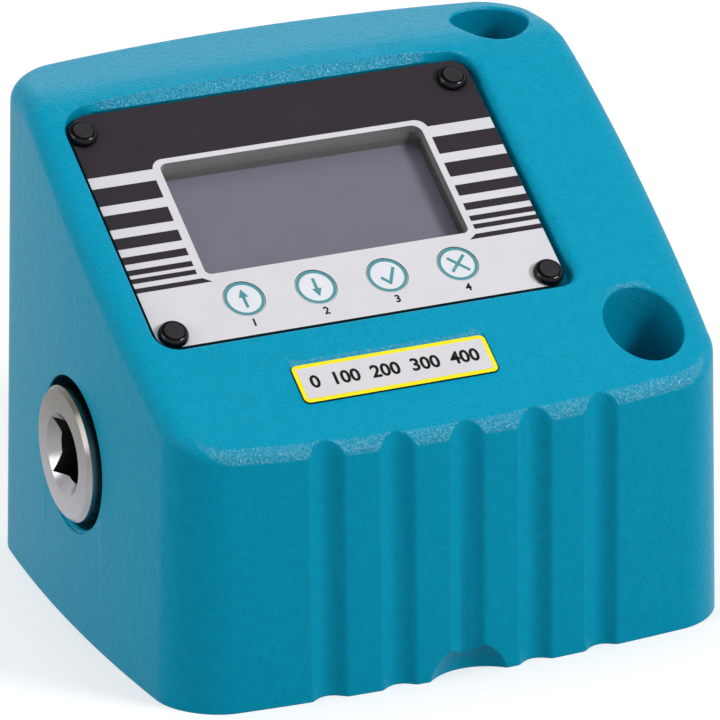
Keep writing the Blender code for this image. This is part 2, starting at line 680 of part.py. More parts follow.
def make_base():
    """The plate that closes the underside, with four countersunk screws."""
    plate = prism("base_plate", full_plan(BASE_RIM + GAP), 0.0, BASE_THICKNESS, "zinc_plate")
    apply_boolean(plate, rods("base_bolt_cutter", bolt_spots(), BOLT_CLEARANCE_R, -RUN_OUT, RUN_OUT,
                              ROUND_STEPS))
    for number, (x, y) in enumerate(base_screw_spots(), 1):
        place = Matrix.Translation((x, y, 0))
        apply_boolean(plate, turned(f"base_sink_cutter_{number}", [
            (0, -RUN_OUT), (BASE_SCREW_HEAD_R + GAP, -RUN_OUT), (BASE_SCREW_HEAD_R + GAP, GAP),
            (BASE_SCREW_R + GAP, BASE_SCREW_HEAD_HEIGHT + GAP), (BASE_SCREW_R + GAP, RUN_OUT), (0, RUN_OUT)],
            SMALL_STEPS, matrix=place))
        turned(f"base_screw_{number}", [
            (0, GAP), (BASE_SCREW_HEAD_R, GAP), (BASE_SCREW_R, BASE_SCREW_HEAD_HEIGHT),
            (BASE_SCREW_R, BASE_SCREW_LENGTH), (0, BASE_SCREW_LENGTH)], SMALL_STEPS, "zinc_plate", place)


def make_facia():
    """The printed plate, its rivets and the lens behind its window."""
    frame = facia_frame()
    outline = rounded_rectangle(PLATE_WIDTH, PLATE_HEIGHT, PLATE_CORNER_R)
    plate = prism("facia_plate", outline, -PLATE_THICKNESS, 0.0, "facia_print", frame)
    low, high = -PLATE_THICKNESS - GAP, GAP
    apply_boolean(plate, prism("window_cutter", window_outline(0.0), low, high, matrix=frame))
    apply_boolean(plate, rods("key_hole_cutter", key_spots(), KEY_R + GAP, low, high, ROUND_STEPS,
                              matrix=frame))
    apply_boolean(plate, rods("plate_rivet_cutter", rivet_spots(), RIVET_SHANK_R + GAP, low, high,
                              HOLE_STEPS, matrix=frame))
    for number, (x, y) in enumerate(rivet_spots(), 1):
        make_rivet(f"facia_rivet_{number}", frame @ Matrix.Translation((x, y, 0)))
    prism("window_lens", window_outline(LENS_MARGIN), LENS_TOP - LENS_THICKNESS, LENS_TOP, "clear_window",
          frame)


def make_rivet(name, place):
    """A domed head on a shank that reaches through the plate into the casting."""
    profile = [(0, INNER_SKIN + 2 * GAP), (RIVET_SHANK_R, INNER_SKIN + 2 * GAP), (RIVET_SHANK_R, GAP),
               (RIVET_HEAD_R, GAP)]
    for step in range(1, FLAT_STEPS + 1):
        angle = math.pi / 2 * step / FLAT_STEPS
        profile.append((RIVET_HEAD_R * math.cos(angle), GAP + RIVET_HEAD_HEIGHT * math.sin(angle)))
    profile[-1] = (0, GAP + RIVET_HEAD_HEIGHT)
    turned(name, profile, RIVET_STEPS, "black_plastic", place)


def make_display():
    """The display module behind the window: a frame with its glass let into it."""
    frame = facia_frame()
    bottom = DISPLAY_TOP - DISPLAY_DEPTH
    module = prism("display_module", window_outline(LENS_MARGIN), bottom, DISPLAY_TOP, "display_frame",
                   frame)
    glass_top = DISPLAY_TOP - GLASS_DROP
    well = prism("glass_well_cutter", window_outline(GAP), glass_top - GLASS_THICKNESS - GAP,
                 DISPLAY_TOP + GAP, matrix=frame)
    apply_boolean(module, well)
    prism("display_glass", window_outline(0.0), glass_top - GLASS_THICKNESS, glass_top, "display_glass",
          frame)


def make_board():
    """The circuit board behind the display, held to the casting's bosses by four screws."""
    frame = facia_frame()
    outline = rounded_rectangle(BOARD_WIDTH, BOARD_HEIGHT, BOARD_CORNER_R, 2)
    board = prism("circuit_board", outline, BOARD_BOTTOM, BOARD_TOP, "board", frame)
    apply_boolean(board, rods("board_hole_cutter", corner_spots(BOARD_SCREW_X, BOARD_SCREW_Y),
                              BOARD_SCREW_R + GAP, BOARD_BOTTOM - GAP, BOARD_TOP + GAP, HOLE_STEPS,
                              matrix=frame))
    seat = BOARD_BOTTOM - GAP
    for number, (x, y) in enumerate(corner_spots(BOARD_SCREW_X, BOARD_SCREW_Y), 1):
        turned(f"board_screw_{number}", [
            (0, seat - BOARD_SCREW_HEAD_HEIGHT), (BOARD_SCREW_HEAD_R, seat - BOARD_SCREW_HEAD_HEIGHT),
            (BOARD_SCREW_HEAD_R, seat), (BOARD_SCREW_R, seat), (BOARD_SCREW_R, BOARD_TOP + BOARD_SCREW_GRIP),
            (0, BOARD_TOP + BOARD_SCREW_GRIP)], HOLE_STEPS, "zinc_plate",
            frame @ Matrix.Translation((x, y, 0)))


def make_keys():
    """Four round keys with stems through the casting, each over a switch on the board."""
    frame = facia_frame()
    for number, (name, (x, y)) in enumerate(zip(KEY_NAMES, key_spots()), 1):
        place = frame @ Matrix.Translation((x, y, 0))
        turned(name, [
            (0, STEM_END), (KEY_STEM_R, STEM_END), (KEY_STEM_R, -KEY_THICKNESS), (KEY_R, -KEY_THICKNESS),
            (KEY_R, 0), (0, 0)], ROUND_STEPS, "key_plastic", place)
        body_top = PLUNGER_TOP - SWITCH_PLUNGER_HEIGHT
        outline = rounded_rectangle(SWITCH_SIZE, SWITCH_SIZE, SWITCH_CORNER_R, 1)
        switch = prism(f"key_switch_{number}", outline, BOARD_TOP + GAP, body_top, "display_frame", place)
        apply_boolean(switch, rods(f"plunger_joiner_{number}", ON_AXIS, SWITCH_PLUNGER_R, body_top - GAP,
                                   PLUNGER_TOP, matrix=place), "UNION")


def make_label():
    outline = rounded_rectangle(LABEL_WIDTH, LABEL_HEIGHT, LABEL_CORNER_R, 2, (0, -LABEL_DOWN))
    low = PLATE_INSET - LABEL_POCKET + GAP
    prism("range_label", outline, low, low + LABEL_THICKNESS, "label", facia_frame())


def transducer_profile():
    """Outer profile from the hub's face to the flange's back, as (radius, distance inward)."""
    flange_front = FLANGE_X - HUB_FACE_X
    neck = HUB_LENGTH + TORSION_FILLET
    points = [(0, 0), (HUB_R - HUB_CHAMFER, 0), (HUB_R, HUB_CHAMFER), (HUB_R, HUB_LENGTH)]
    for step in range(1, FLAT_STEPS):
        angle = math.pi / 2 * step / (FLAT_STEPS - 1)
        points.append((TORSION_R + TORSION_FILLET * (1 - math.sin(angle)),
                       neck - TORSION_FILLET * math.cos(angle)))
    flange_back = flange_front + FLANGE_THICKNESS
    return points + [(TORSION_R, flange_front), (FLANGE_R, flange_front), (FLANGE_R, flange_back),
                     (0, flange_back)]


def make_transducer():
    """One steel piece: the hub with its square socket, the torsion shaft and the bolted flange."""
    frame = drive_frame()
    body = turned("torque_transducer", transducer_profile(), FINE_STEPS, "steel", frame)
    half = SQUARE / 2
    square = [(-half, -half), (half, -half), (half, half), (-half, half)]
    apply_boolean(body, turned("countersink_cutter", [
        (0, -RUN_OUT), (COUNTERSINK_R + RUN_OUT, -RUN_OUT),
        (COUNTERSINK_R - COUNTERSINK_DEPTH, COUNTERSINK_DEPTH), (0, COUNTERSINK_DEPTH)],
        ROUND_STEPS, matrix=frame))
    apply_boolean(body, prism("square_cutter", square, -RUN_OUT, SQUARE_DEPTH, matrix=frame))
    apply_boolean(body, rods("pilot_cutter", ON_AXIS, PILOT_R, -RUN_OUT, PILOT_DEPTH, ROUND_STEPS,
                             matrix=frame))
    start = FLANGE_X - HUB_FACE_X
    apply_boolean(body, rods("flange_hole_cutter", flange_screw_spots(), FLANGE_SCREW_R + GAP, start - GAP,
                             start + FLANGE_THICKNESS + GAP, HOLE_STEPS, matrix=frame))
    head = start - GAP - FLANGE_SCREW_HEAD_HEIGHT
    tip = WEB_X - HUB_FACE_X + FLANGE_SCREW_BITE
    for number, (x, y) in enumerate(flange_screw_spots(), 1):
        turned(f"flange_screw_{number}", [
            (0, head), (FLANGE_SCREW_HEAD_R, head), (FLANGE_SCREW_HEAD_R, start - GAP),
            (FLANGE_SCREW_R, start - GAP), (FLANGE_SCREW_R, tip), (0, tip)],
            HOLE_STEPS, "zinc_plate", frame @ Matrix.Translation((x, y, 0)))


def make_sleeve():
    """The cover over the strain gauges on the torsion shaft."""
    sleeve = rods("gauge_sleeve", ON_AXIS, SLEEVE_R, SLEEVE_START, SLEEVE_END, ROUND_STEPS, "sleeve",
                  drive_frame())
    apply_boolean(sleeve, rods("sleeve_bore_cutter", ON_AXIS, TORSION_R + GAP, SLEEVE_START - GAP,
                               SLEEVE_END + GAP, FINE_STEPS, matrix=drive_frame()))


def make_inlet():
    """The low-voltage inlet in the rear wall, with its nut inside."""
    frame = inlet_frame()
    floor = INLET_FLANGE_THICKNESS - INLET_SOCKET_DEPTH
    body = turned("power_inlet", [
        (0, GAP - INLET_LENGTH), (INLET_BARREL_R, GAP - INLET_LENGTH), (INLET_BARREL_R, GAP),
        (INLET_FLANGE_R, GAP), (INLET_FLANGE_R, INLET_FLANGE_THICKNESS), (0, INLET_FLANGE_THICKNESS)],
        ROUND_STEPS, "black_plastic", frame)
    apply_boolean(body, rods("inlet_socket_cutter", ON_AXIS, INLET_SOCKET_R, floor, RUN_OUT, matrix=frame))
    pin = rods("inlet_pin_joiner", ON_AXIS, INLET_PIN_R, floor - GAP, 0.0, HOLE_STEPS, matrix=frame)
    apply_boolean(body, pin, "UNION")
    top = -INLET_WALL - GAP
    bottom = top - INLET_NUT_THICKNESS
    nut = rods("inlet_nut", ON_AXIS, INLET_NUT_R, bottom, top, INLET_NUT_SIDES, "zinc_plate", frame)
    apply_boolean(nut, rods("nut_bore_cutter", ON_AXIS, INLET_BARREL_R + GAP, bottom - GAP, top + GAP,
                            ROUND_STEPS, matrix=frame))


def make_lead(name, start, start_pull, end, end_pull):
    """A lead on one smooth curve between two places, leaving each along its pull."""
    curve = bpy.data.curves.new(name, "CURVE")
    curve.dimensions = "3D"
    curve.bevel_depth = LEAD_R
    curve.bevel_resolution = 2
    curve.use_fill_caps = True
    spline = curve.splines.new("POLY")
    spline.points.add(LEAD_POINTS - 1)
    for index, point in enumerate(spline.points):
        t = index / (LEAD_POINTS - 1)
        place = (start * (1 - t) ** 3 + (start + start_pull) * 3 * t * (1 - t) ** 2
                 + (end + end_pull) * 3 * t ** 2 * (1 - t) + end * t ** 3)
        point.co = (*place, 1.0)
    curve.materials.append(get_material("lead"))
    obj = bpy.data.objects.new(name, curve)
    bpy.context.scene.collection.objects.link(obj)


def make_leads():
    """The gauge lead from the sleeve and the power lead from the inlet, both up to the board."""
    frame = facia_frame()
    below = frame.to_3x3() @ Vector((0, 0, -LEAD_BEND))
    board_x = LEAD_FROM_BOARD_SIDE - BOARD_WIDTH / 2
    sleeve_top = drive_frame() @ Vector((-SLEEVE_R - GAP, 0, (SLEEVE_START + SLEEVE_END) / 2))
    gauge_end = frame @ Vector((board_x, GAUGE_LEAD_UP, BOARD_BOTTOM - GAP))
    make_lead("gauge_lead", sleeve_top, Vector((0, 0, LEAD_BEND)), gauge_end, below)
    inlet_end = inlet_frame() @ Vector((0, 0, -INLET_LENGTH))
    power_end = frame @ Vector((board_x, POWER_LEAD_UP, BOARD_BOTTOM - GAP))
    make_lead("power_lead", inlet_end, Vector((0, -LEAD_BEND, 0)), power_end, below)


def main():
    clear_scene()
    make_housing()
    make_base()
    make_facia()
    make_display()
    make_board()
    make_keys()
    make_label()
    make_transducer()
    make_sleeve()
    make_inlet()
    make_leads()


main()
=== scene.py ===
"""The looks of the electronic torque tester: fine surfaces, print, materials, light and camera.

Everything is in metres in the row's frame: the origin is the middle of the underside, +Z is up, the
drive socket faces -X and the fluted front faces -Y. The facia's own frame has x across, y up the slope
and z out of its top face.
"""

import math

import bmesh
import bpy
from mathutils import Matrix, Vector


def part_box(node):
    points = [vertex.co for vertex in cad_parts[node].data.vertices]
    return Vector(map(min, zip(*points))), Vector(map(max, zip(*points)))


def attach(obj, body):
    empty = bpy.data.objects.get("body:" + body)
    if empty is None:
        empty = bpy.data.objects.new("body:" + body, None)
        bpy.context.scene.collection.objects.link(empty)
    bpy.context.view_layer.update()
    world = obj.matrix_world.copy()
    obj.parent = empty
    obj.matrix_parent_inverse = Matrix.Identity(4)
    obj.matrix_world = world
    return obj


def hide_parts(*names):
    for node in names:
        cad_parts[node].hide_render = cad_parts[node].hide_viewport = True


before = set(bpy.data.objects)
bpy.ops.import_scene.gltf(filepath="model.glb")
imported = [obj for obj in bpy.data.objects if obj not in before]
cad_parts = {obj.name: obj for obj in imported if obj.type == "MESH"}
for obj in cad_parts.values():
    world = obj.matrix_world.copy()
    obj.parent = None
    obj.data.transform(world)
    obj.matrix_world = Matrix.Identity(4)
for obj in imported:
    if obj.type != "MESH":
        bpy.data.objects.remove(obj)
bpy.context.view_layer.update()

# Clearances and how finely round shapes are drawn
GAP = 0.0003
RUN_OUT = 0.004
FINE_STEPS = 96
MEDIUM_STEPS = 48
STEM_STEPS = 16
HOLE_STEPS = 12
LIP_STEPS = 6
SHARP_FROM = math.radians(35)
CUT_SHARP_FROM = math.radians(30)
HOUSING_SHARP_FROM = math.radians(32)
ON_AXIS = [(0, 0)]

# Housing casting, outside
BODY_WIDTH = 0.1364
BODY_DEPTH = 0.1201
BODY_HEIGHT = 0.1109
CREASE_HEIGHT = 0.0560
TOP_LENGTH = 0.02895
SLOPE_BLEND_R = 0.019
TOP_CROWN = 0.00075
SIDE_BOW = 0.0035
FRONT_BOW = 0.0038
REAR_BOW = 0.0055
FRONT_CORNER_R = 0.012
REAR_CORNER_R = 0.013
EDGE_R = 0.0048
DRAFT = math.radians(1.5)
FLUTE_COUNT = 5
FLUTE_PITCH = 0.016
FLUTE_WIDTH = 0.0076
FLUTE_DEPTH = 0.0019
FLUTE_SHOULDER = 0.00022
FLUTE_STEPS = 30
SCOOP_RADIUS = 0.0133
SCOOP_DEPTH = 0.0038
SCOOP_DROP = 0.0019
HALF_WIDTH = BODY_WIDTH / 2
HALF_DEPTH = BODY_DEPTH / 2
SLOPE = math.atan2(BODY_HEIGHT - CREASE_HEIGHT, BODY_DEPTH - TOP_LENGTH)

# Housing casting, inside
WALL = 0.0065
TOP_WALL = 0.006
INNER_EDGE_R = 0.003
WEB_THICKNESS = 0.008
WEB_HEIGHT = 0.0629
COLUMN_WALL = 0.0037

# Bolt holes, base plate and base screws
BOLT_CLEARANCE_R = 0.0055
BOLT_HEAD_R = 0.00876
BOLT_SEAT_HEIGHT = 0.012
BOLT_RIM = 0.0007
BOLT_RIM_LIFT = 0.00006
BOLT_X = HALF_WIDTH - 0.0188
BOLT_SPOTS = [(BOLT_X, -HALF_DEPTH + 0.0181), (BOLT_X, HALF_DEPTH - 0.0227)]
BASE_THICKNESS = 0.0025
BASE_RIM = 0.0045
BASE_SCREW_EDGE = 0.006
BASE_SCREW_RIGHT_SPAN = 0.040
BASE_SCREW_HOLE_R = 0.0023
BASE_SCREW_HOLE_END = 0.0126
BASE_BOSS_R = 0.005
BOARD_BOSS_R = 0.0035
BOARD_BOSS_Y = 0.0245
BOARD_BOSS_LOW = -0.0094

# Facia
FACIA_X = -0.0097
FACIA_ALONG_SLOPE = 0.068206
PLATE_INSET = 0.00186
PLATE_WIDTH = 0.0954
PLATE_HEIGHT = 0.0646
PLATE_THICKNESS = 0.002
PLATE_CORNERS = (0.004, 0.0058, 0.004, 0.004)
RECESS_LEFT_GAP = 0.0010
RECESS_RIGHT_GAP = 0.0014
RECESS_BOTTOM_GAP = 0.0017
RECESS_TOP_GAP = 0.0007
RECESS_TOP_FLARE = 0.0030
RECESS_CORNERS = (0.0055, 0.0065, 0.0055, 0.0042)
RECESS_LEFT_LIP = 0.0012
RECESS_RIGHT_LIP = 0.0020
RECESS_TOP_LIP = 0.0004
RECESS_BOTTOM_LIP = 0.00065
RECESS_LIP_TURN = math.radians(72)
FACIA_WALL = 0.0036
WINDOW_WIDTH = 0.0619
WINDOW_HEIGHT = 0.031
WINDOW_CORNERS = (0.0023, 0.0018, 0.0014, 0.0014)
WINDOW_UP = 0.0007
WINDOW_SIDE_BORDER = 0.0017
WINDOW_TOP_BORDER = 0.00135
LENS_MARGIN = 0.002
LENS_THICKNESS = 0.001
GLASS_DEPTH = 0.0048
GLASS_MARGIN = 0.001
GLASS_THICKNESS = 0.0015
WELL_MARGIN = 0.0012
WELL_DEPTH = 0.0018
MODULE_BELOW_GLASS = 0.0043
COLLAR_LEAN = 0.0012
RECESS_FLOOR = -PLATE_THICKNESS - GAP
INNER_SKIN = RECESS_FLOOR - FACIA_WALL
KEY_PITCH = 0.0167
KEY_DOWN = 0.0226
KEY_R = 0.00462
KEY_HOLE_R = 0.00472
KEY_RING = 0.00085
KEY_THICKNESS = 0.0016
KEY_STEM_R = 0.002
KEY_EDGE_R = 0.00015
SYMBOL_STROKE = 0.0007
NUMERAL_SIZE = 0.0027
NUMERAL_DOWN = 0.0066
RIVET_X = 0.0439
RIVET_Y = 0.0283
RIVET_DROP = 0.0009
UPPER_RIVETS_LEFT = 0.0010
UPPER_RIVETS_DOWN = 0.0004
RIVET_HEAD_R = 0.0034
RIVET_CROWN_R = 0.0022
RIVET_HEAD_HEIGHT = 0.0021
RIVET_HOLE_R = 0.0018
RIVET_SHANK_R = 0.0015
RIVET_FOOT = 0.0003
RIVET_DOME = 0.00012
INK = 0.00004
BOLDER = 0.026
LABEL_WIDTH = 0.0450
LABEL_LEFT = 0.0002
LABEL_RIM = 0.0011
LABEL_HEIGHT = 0.0099
LABEL_DOWN = 0.04841
LABEL_CORNER_R = 0.0013
LABEL_POCKET = 0.0006
LABEL_THICKNESS = 0.0005
LABEL_BORDER = 0.00095
LABEL_TEXT_SIZE = 0.0045
BAND_LOW = 0.01524
BORDER_CORNER_R = 0.0029

# Torque transducer
DRIVE_HEIGHT = 0.0400
HUB_R = 0.0151
HUB_CHAMFER = 0.0009
HUB_LENGTH = 0.0195
DRIVE_BORE_R = 0.0170
BORE_RIM = 0.0009
BORE_RIM_TURN = math.radians(75)
BORE_FLARE = 0.0008
SQUARE = 0.0128
SQUARE_DEPTH = 0.017
PILOT_R = 0.0068
PILOT_DEPTH = 0.0185
COUNTERSINK_R = 0.0092
COUNTERSINK_DEPTH = 0.003
TORSION_R = 0.009
TORSION_FILLET = 0.002
TORSION_LENGTH = 0.026
FLANGE_R = 0.022
FLANGE_THICKNESS = 0.008
FLANGE_SCREWS = 6
FLANGE_SCREW_CIRCLE_R = 0.0165
FLANGE_SCREW_R = 0.002
FLANGE_SCREW_BITE = 0.0068
HUB_FACE_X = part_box("torque_transducer")[0].x
WEB_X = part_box("torque_transducer")[1].x + GAP

# Power inlet in the rear wall
INLET_X = -0.036
INLET_HEIGHT = 0.030
INLET_BARREL_R = 0.0055
INLET_SPOT_R = 0.0088
INLET_SPOT_DEPTH = 0.0018
INLET_WALL = 0.004
INLET_NUT_R = 0.008

# Camera, found by fitting the photograph
CAMERA_PLACE = Vector((-0.53124, -1.19570, 0.58803))
CAMERA_DOWN = 0.3898
CAMERA_TURN = -0.4189
CAMERA_LENS = 322.48

# Light: watts of the lamps, strengths of the world, and how white the floor looks and lights
KEY_WATTS = 10.6
TOP_WATTS = 3.5
LEFT_WATTS = 4.6
BACK_WATTS = 1.9
WORLD_LIGHT = 0.30
CEILING_LIGHT = 0.15
CEILING_FROM = 0.45
CEILING_TO = 0.8
FLOOR_BOUNCE = 0.28
FLOOR_WHITE = 0.60
FLOOR_GLOW = 0.50

WHITE = (1.0, 1.0, 1.0, 1.0)
LAMP_TARGET = Vector((0.0, 0.0, 0.06))

# Paint: its plain, dark and light tones, its grain, and where it is coarse or glossy
PAINT_TONES = ((0.0, 0.335, 0.535), (0.0, 0.305, 0.486), (0.0, 0.361, 0.566))
PAINT_SHINE = 0.08
TOP_SHINE = 0.11
GRAIN_SCALE = 1900.0
GRAIN_DEPTH = 0.0005
WAVE_SCALE = 420.0
WAVE_DEPTH = 0.0003
PAINT_RIM = 0.0004
RIM_SAMPLES = 6
NOISE_SPREAD = (0.3, 0.7)
SPARKLE_SPREAD = (0.45, 0.60)
EDGE_FACING = (0.0, -0.868, 0.496)
EDGE_FADE = (0.905, 0.945)
TOP_FADE = (0.94, 0.99)
SLOPE_FADE = (0.3, 0.7)

# Grain of the other materials, and the tones of the steel end: painted light below the drive's axis, painted
# shade above it
INK_GRAIN_DEPTH = 0.000006
GLOSS_GRAIN_DEPTH = 0.00001
STEEL_DEPTH = 0.00002
STEEL_RIM = 0.0002
STEEL_SHADE_SPAN = 0.012
RING_SCALE = 9000.0
STEEL_PAINTED_LIGHT_LOW = (0.410, 0.400, 0.430)
STEEL_PAINTED_SHADE_HIGH = (0.165, 0.155, 0.135)

TESTER = "tester"
KEY_BODIES = {"key_up": "up_key", "key_down": "down_key", "key_accept": "accept_key",
              "key_clear": "clear_key"}


def facia_frame():
    """The facia's own frame: its origin is the middle of the plate's top face."""
    along = -HALF_DEPTH + FACIA_ALONG_SLOPE * math.cos(SLOPE)
    on_skin = Vector((FACIA_X, along, slope_height(along)))
    inward = Vector((0, math.sin(SLOPE), -math.cos(SLOPE)))
    return Matrix.Translation(on_skin + inward * PLATE_INSET) @ Matrix.Rotation(SLOPE, 4, "X")


def slope_height(y, depth=0.0):
    """Height of the plane that lies depth below the slope's skin, at y."""
    return CREASE_HEIGHT + math.tan(SLOPE) * (y + HALF_DEPTH) - depth / math.cos(SLOPE)


def top_height(x, y, slope_depth=0.0, top_depth=0.0):
    """Height of the skin over (x, y): the slope, a blending arc and the crowned top."""
    top = BODY_HEIGHT - top_depth - TOP_CROWN * (x / HALF_WIDTH) ** 2
    slope = slope_height(y, slope_depth)
    knee = y + (top - slope) / math.tan(SLOPE)
    reach = SLOPE_BLEND_R * math.tan(SLOPE / 2)
    if y <= knee - reach * math.cos(SLOPE):
        return slope
    if y >= knee + reach:
        return top
    return top - SLOPE_BLEND_R + math.sqrt(SLOPE_BLEND_R ** 2 - (knee + reach - y) ** 2)


FACIA = facia_frame()
DRIVE = Matrix.Translation((HUB_FACE_X, 0, DRIVE_HEIGHT)) @ Matrix.Rotation(math.pi / 2, 4, "Y")


# Nodes and materials

def new_material(name, colour, roughness=0.5, metallic=0.0, specular=0.5):
    """A material, its node tree and its shader."""
    material = bpy.data.materials.new(name)
    material.use_nodes = True
    shader = material.node_tree.nodes["Principled BSDF"]
    shader.inputs["Base Color"].default_value = (*colour, 1.0)
    shader.inputs["Roughness"].default_value = roughness
    shader.inputs["Metallic"].default_value = metallic
    shader.inputs["Specular IOR Level"].default_value = specular
    return material, material.node_tree, shader


def add_node(tree, kind, **values):
    """A node with its sockets' values, or its own settings, by name."""
    node = tree.nodes.new(kind)
    for name, value in values.items():
        if name in node.inputs:
            node.inputs[name].default_value = value
        else:
            setattr(node, name, value)
    return node


def link(tree, source, target):
    tree.links.new(source, target)


def noise(tree, scale, detail=2.0, roughness=0.5, distortion=0.0):
    """A noise texture in the row's metres, so it stays put on a moving piece's own mesh."""
    place = add_node(tree, "ShaderNodeTexCoord")
    texture = add_node(tree, "ShaderNodeTexNoise", Scale=scale, Detail=detail, Roughness=roughness,
                       Distortion=distortion)
    link(tree, place.outputs["Object"], texture.inputs["Vector"])
    return texture.outputs["Fac"]


def ramp(tree, value, low, high, out_low, out_high, kind="LINEAR"):
    """Maps value from low..high to out_low..out_high, clamped."""
    limits = {"From Min": low, "From Max": high, "To Min": out_low, "To Max": out_high}
    node = add_node(tree, "ShaderNodeMapRange", interpolation_type=kind, **limits)
    link(tree, value, node.inputs["Value"])
    return node.outputs["Result"]


def combine(tree, operation, first, second):
    node = add_node(tree, "ShaderNodeMath", operation=operation)
    link(tree, first, node.inputs[0])
    link(tree, second, node.inputs[1])
    return node.outputs["Value"]


def split(tree, vector):
    node = add_node(tree, "ShaderNodeSeparateXYZ")
    link(tree, vector, node.inputs["Vector"])
    return node.outputs


def with_vector(tree, operation, vector, other=None):
    """The node that does a vector operation on a socket and a constant."""
    node = add_node(tree, "ShaderNodeVectorMath", operation=operation)
    link(tree, vector, node.inputs[0])
    if other:
        node.inputs[1].default_value = other
    return node


def blend_colour(tree, factor, first, second):
    node = add_node(tree, "ShaderNodeMix", data_type="RGBA")
    sockets = [socket for socket in node.inputs if socket.type == "RGBA"]
    for socket, colour in zip(sockets, (first, second)):
        socket.default_value = (*colour, 1.0)
    link(tree, factor, node.inputs["Factor"])
    return next(socket for socket in node.outputs if socket.type == "RGBA")


def bump(tree, heights, rim=0.0):
    """Chains bumps of (height socket, distance in metres, strength) into the shader's normal."""
    normal = None
    if rim:
        normal = add_node(tree, "ShaderNodeBevel", Radius=rim, samples=RIM_SAMPLES).outputs["Normal"]
    for height, distance, strength in heights:
        node = add_node(tree, "ShaderNodeBump", Distance=distance)
        if isinstance(strength, float):
            node.inputs["Strength"].default_value = strength
        else:
            link(tree, strength, node.inputs["Strength"])
        link(tree, height, node.inputs["Height"])
        if normal:
            link(tree, normal, node.inputs["Normal"])
        normal = node.outputs["Normal"]
    link(tree, normal, tree.nodes["Principled BSDF"].inputs["Normal"])


def paint_material(name, shade=1.0):
    """Turquoise structure paint: fine grains over a slow orange peel. On rounded edges that face forward
    and up the coat is coarser and glossier, as sprayed paint is there."""
    plain, dark, light = (tuple(shade * channel for channel in tone) for tone in PAINT_TONES)
    material, tree, shader = new_material(name, plain, roughness=0.40, specular=PAINT_SHINE)
    grains = noise(tree, GRAIN_SCALE, roughness=0.6, distortion=0.3)
    waves = noise(tree, WAVE_SCALE)
    tint = combine(tree, "ADD", ramp(tree, grains, *NOISE_SPREAD, 0.0, 0.6),
                   ramp(tree, waves, *NOISE_SPREAD, 0.0, 0.4))
    link(tree, blend_colour(tree, tint, dark, light), shader.inputs["Base Color"])
    facing = add_node(tree, "ShaderNodeNewGeometry").outputs["Normal"]
    edge = with_vector(tree, "DOT_PRODUCT", facing, EDGE_FACING).outputs["Value"]
    upward = split(tree, facing)["Z"]
    coarse = ramp(tree, edge, *EDGE_FADE, 0.0, 1.0)
    sparkle = combine(tree, "MULTIPLY", coarse, ramp(tree, grains, *SPARKLE_SPREAD, 0.15, 1.0))
    glint = ramp(tree, sparkle, 0.0, 1.0, PAINT_SHINE, 1.0)
    sheen = combine(tree, "MAXIMUM", glint, ramp(tree, upward, *TOP_FADE, PAINT_SHINE, TOP_SHINE))
    link(tree, sheen, shader.inputs["Specular IOR Level"])
    link(tree, ramp(tree, grains, *NOISE_SPREAD, 0.44, 0.26), shader.inputs["Roughness"])
    strength = combine(tree, "MAXIMUM", coarse, ramp(tree, upward, *SLOPE_FADE, 0.25, 0.9))
    bump(tree, [(waves, WAVE_DEPTH, 0.4), (grains, GRAIN_DEPTH, strength)], rim=PAINT_RIM)
    return material


def steel_material(name, colour, roughness, turned=False):
    """Machined steel, with fine lathe rings about the drive's axis where it is turned. There it also has
    painted reflection and shade: lighter below the axis, darker above it.
    """
    material, tree, shader = new_material(name, colour, roughness=roughness, metallic=1.0)
    smudge = noise(tree, 220.0, detail=4.0)
    worn = ramp(tree, smudge, *NOISE_SPREAD, roughness * 0.85, roughness * 1.2)
    link(tree, worn, shader.inputs["Roughness"])
    heights = [(smudge, STEEL_DEPTH, 0.3)]
    if turned:
        place = add_node(tree, "ShaderNodeTexCoord").outputs["Object"]
        # Painted reflection and shade: the turned steel is lighter below the drive's axis and darker above it
        fade = (DRIVE_HEIGHT - STEEL_SHADE_SPAN, DRIVE_HEIGHT + STEEL_SHADE_SPAN)
        up = ramp(tree, split(tree, place)["Z"], *fade, 0.0, 1.0)
        link(tree, blend_colour(tree, up, STEEL_PAINTED_LIGHT_LOW, STEEL_PAINTED_SHADE_HIGH), shader.inputs["Base Color"])
        apart = with_vector(tree, "SUBTRACT", place, (HUB_FACE_X, 0.0, DRIVE_HEIGHT))
        across = with_vector(tree, "MULTIPLY", apart.outputs["Vector"], (0.0, 1.0, 1.0))
        radius = with_vector(tree, "LENGTH", across.outputs["Vector"])
        rings = add_node(tree, "ShaderNodeTexNoise", noise_dimensions="1D", Scale=RING_SCALE)
        link(tree, radius.outputs["Value"], rings.inputs["W"])
        heights.append((rings.outputs["Fac"], STEEL_DEPTH, 0.35))
    bump(tree, heights, rim=STEEL_RIM)
    return material


def ink_material(name, colour, roughness=0.34, specular=0.5):
    """Screen print or plastic film: a faint cloudiness in colour and a very fine grain."""
    material, tree, shader = new_material(name, colour, roughness=roughness, specular=specular)
    clouds = ramp(tree, noise(tree, 120.0, detail=3.0), *NOISE_SPREAD, 0.0, 1.0)
    darker = tuple(channel * 0.96 for channel in colour)
    link(tree, blend_colour(tree, clouds, darker, colour), shader.inputs["Base Color"])
    link(tree, ramp(tree, clouds, 0.0, 1.0, roughness * 0.9, roughness * 1.1), shader.inputs["Roughness"])
    bump(tree, [(noise(tree, 3000.0), INK_GRAIN_DEPTH, 0.4)])
    return material


def gloss_material(name, colour, roughness=0.08, specular=0.5):
    """Glossy moulded plastic with a slow waviness and dust-fine grain."""
    material, tree, shader = new_material(name, colour, roughness=roughness, specular=specular)
    grain = noise(tree, 700.0, detail=3.0)
    link(tree, ramp(tree, grain, 0.35, 0.7, roughness * 0.8, roughness * 1.8), shader.inputs["Roughness"])
    bump(tree, [(grain, GLOSS_GRAIN_DEPTH, 0.3)])
    return material


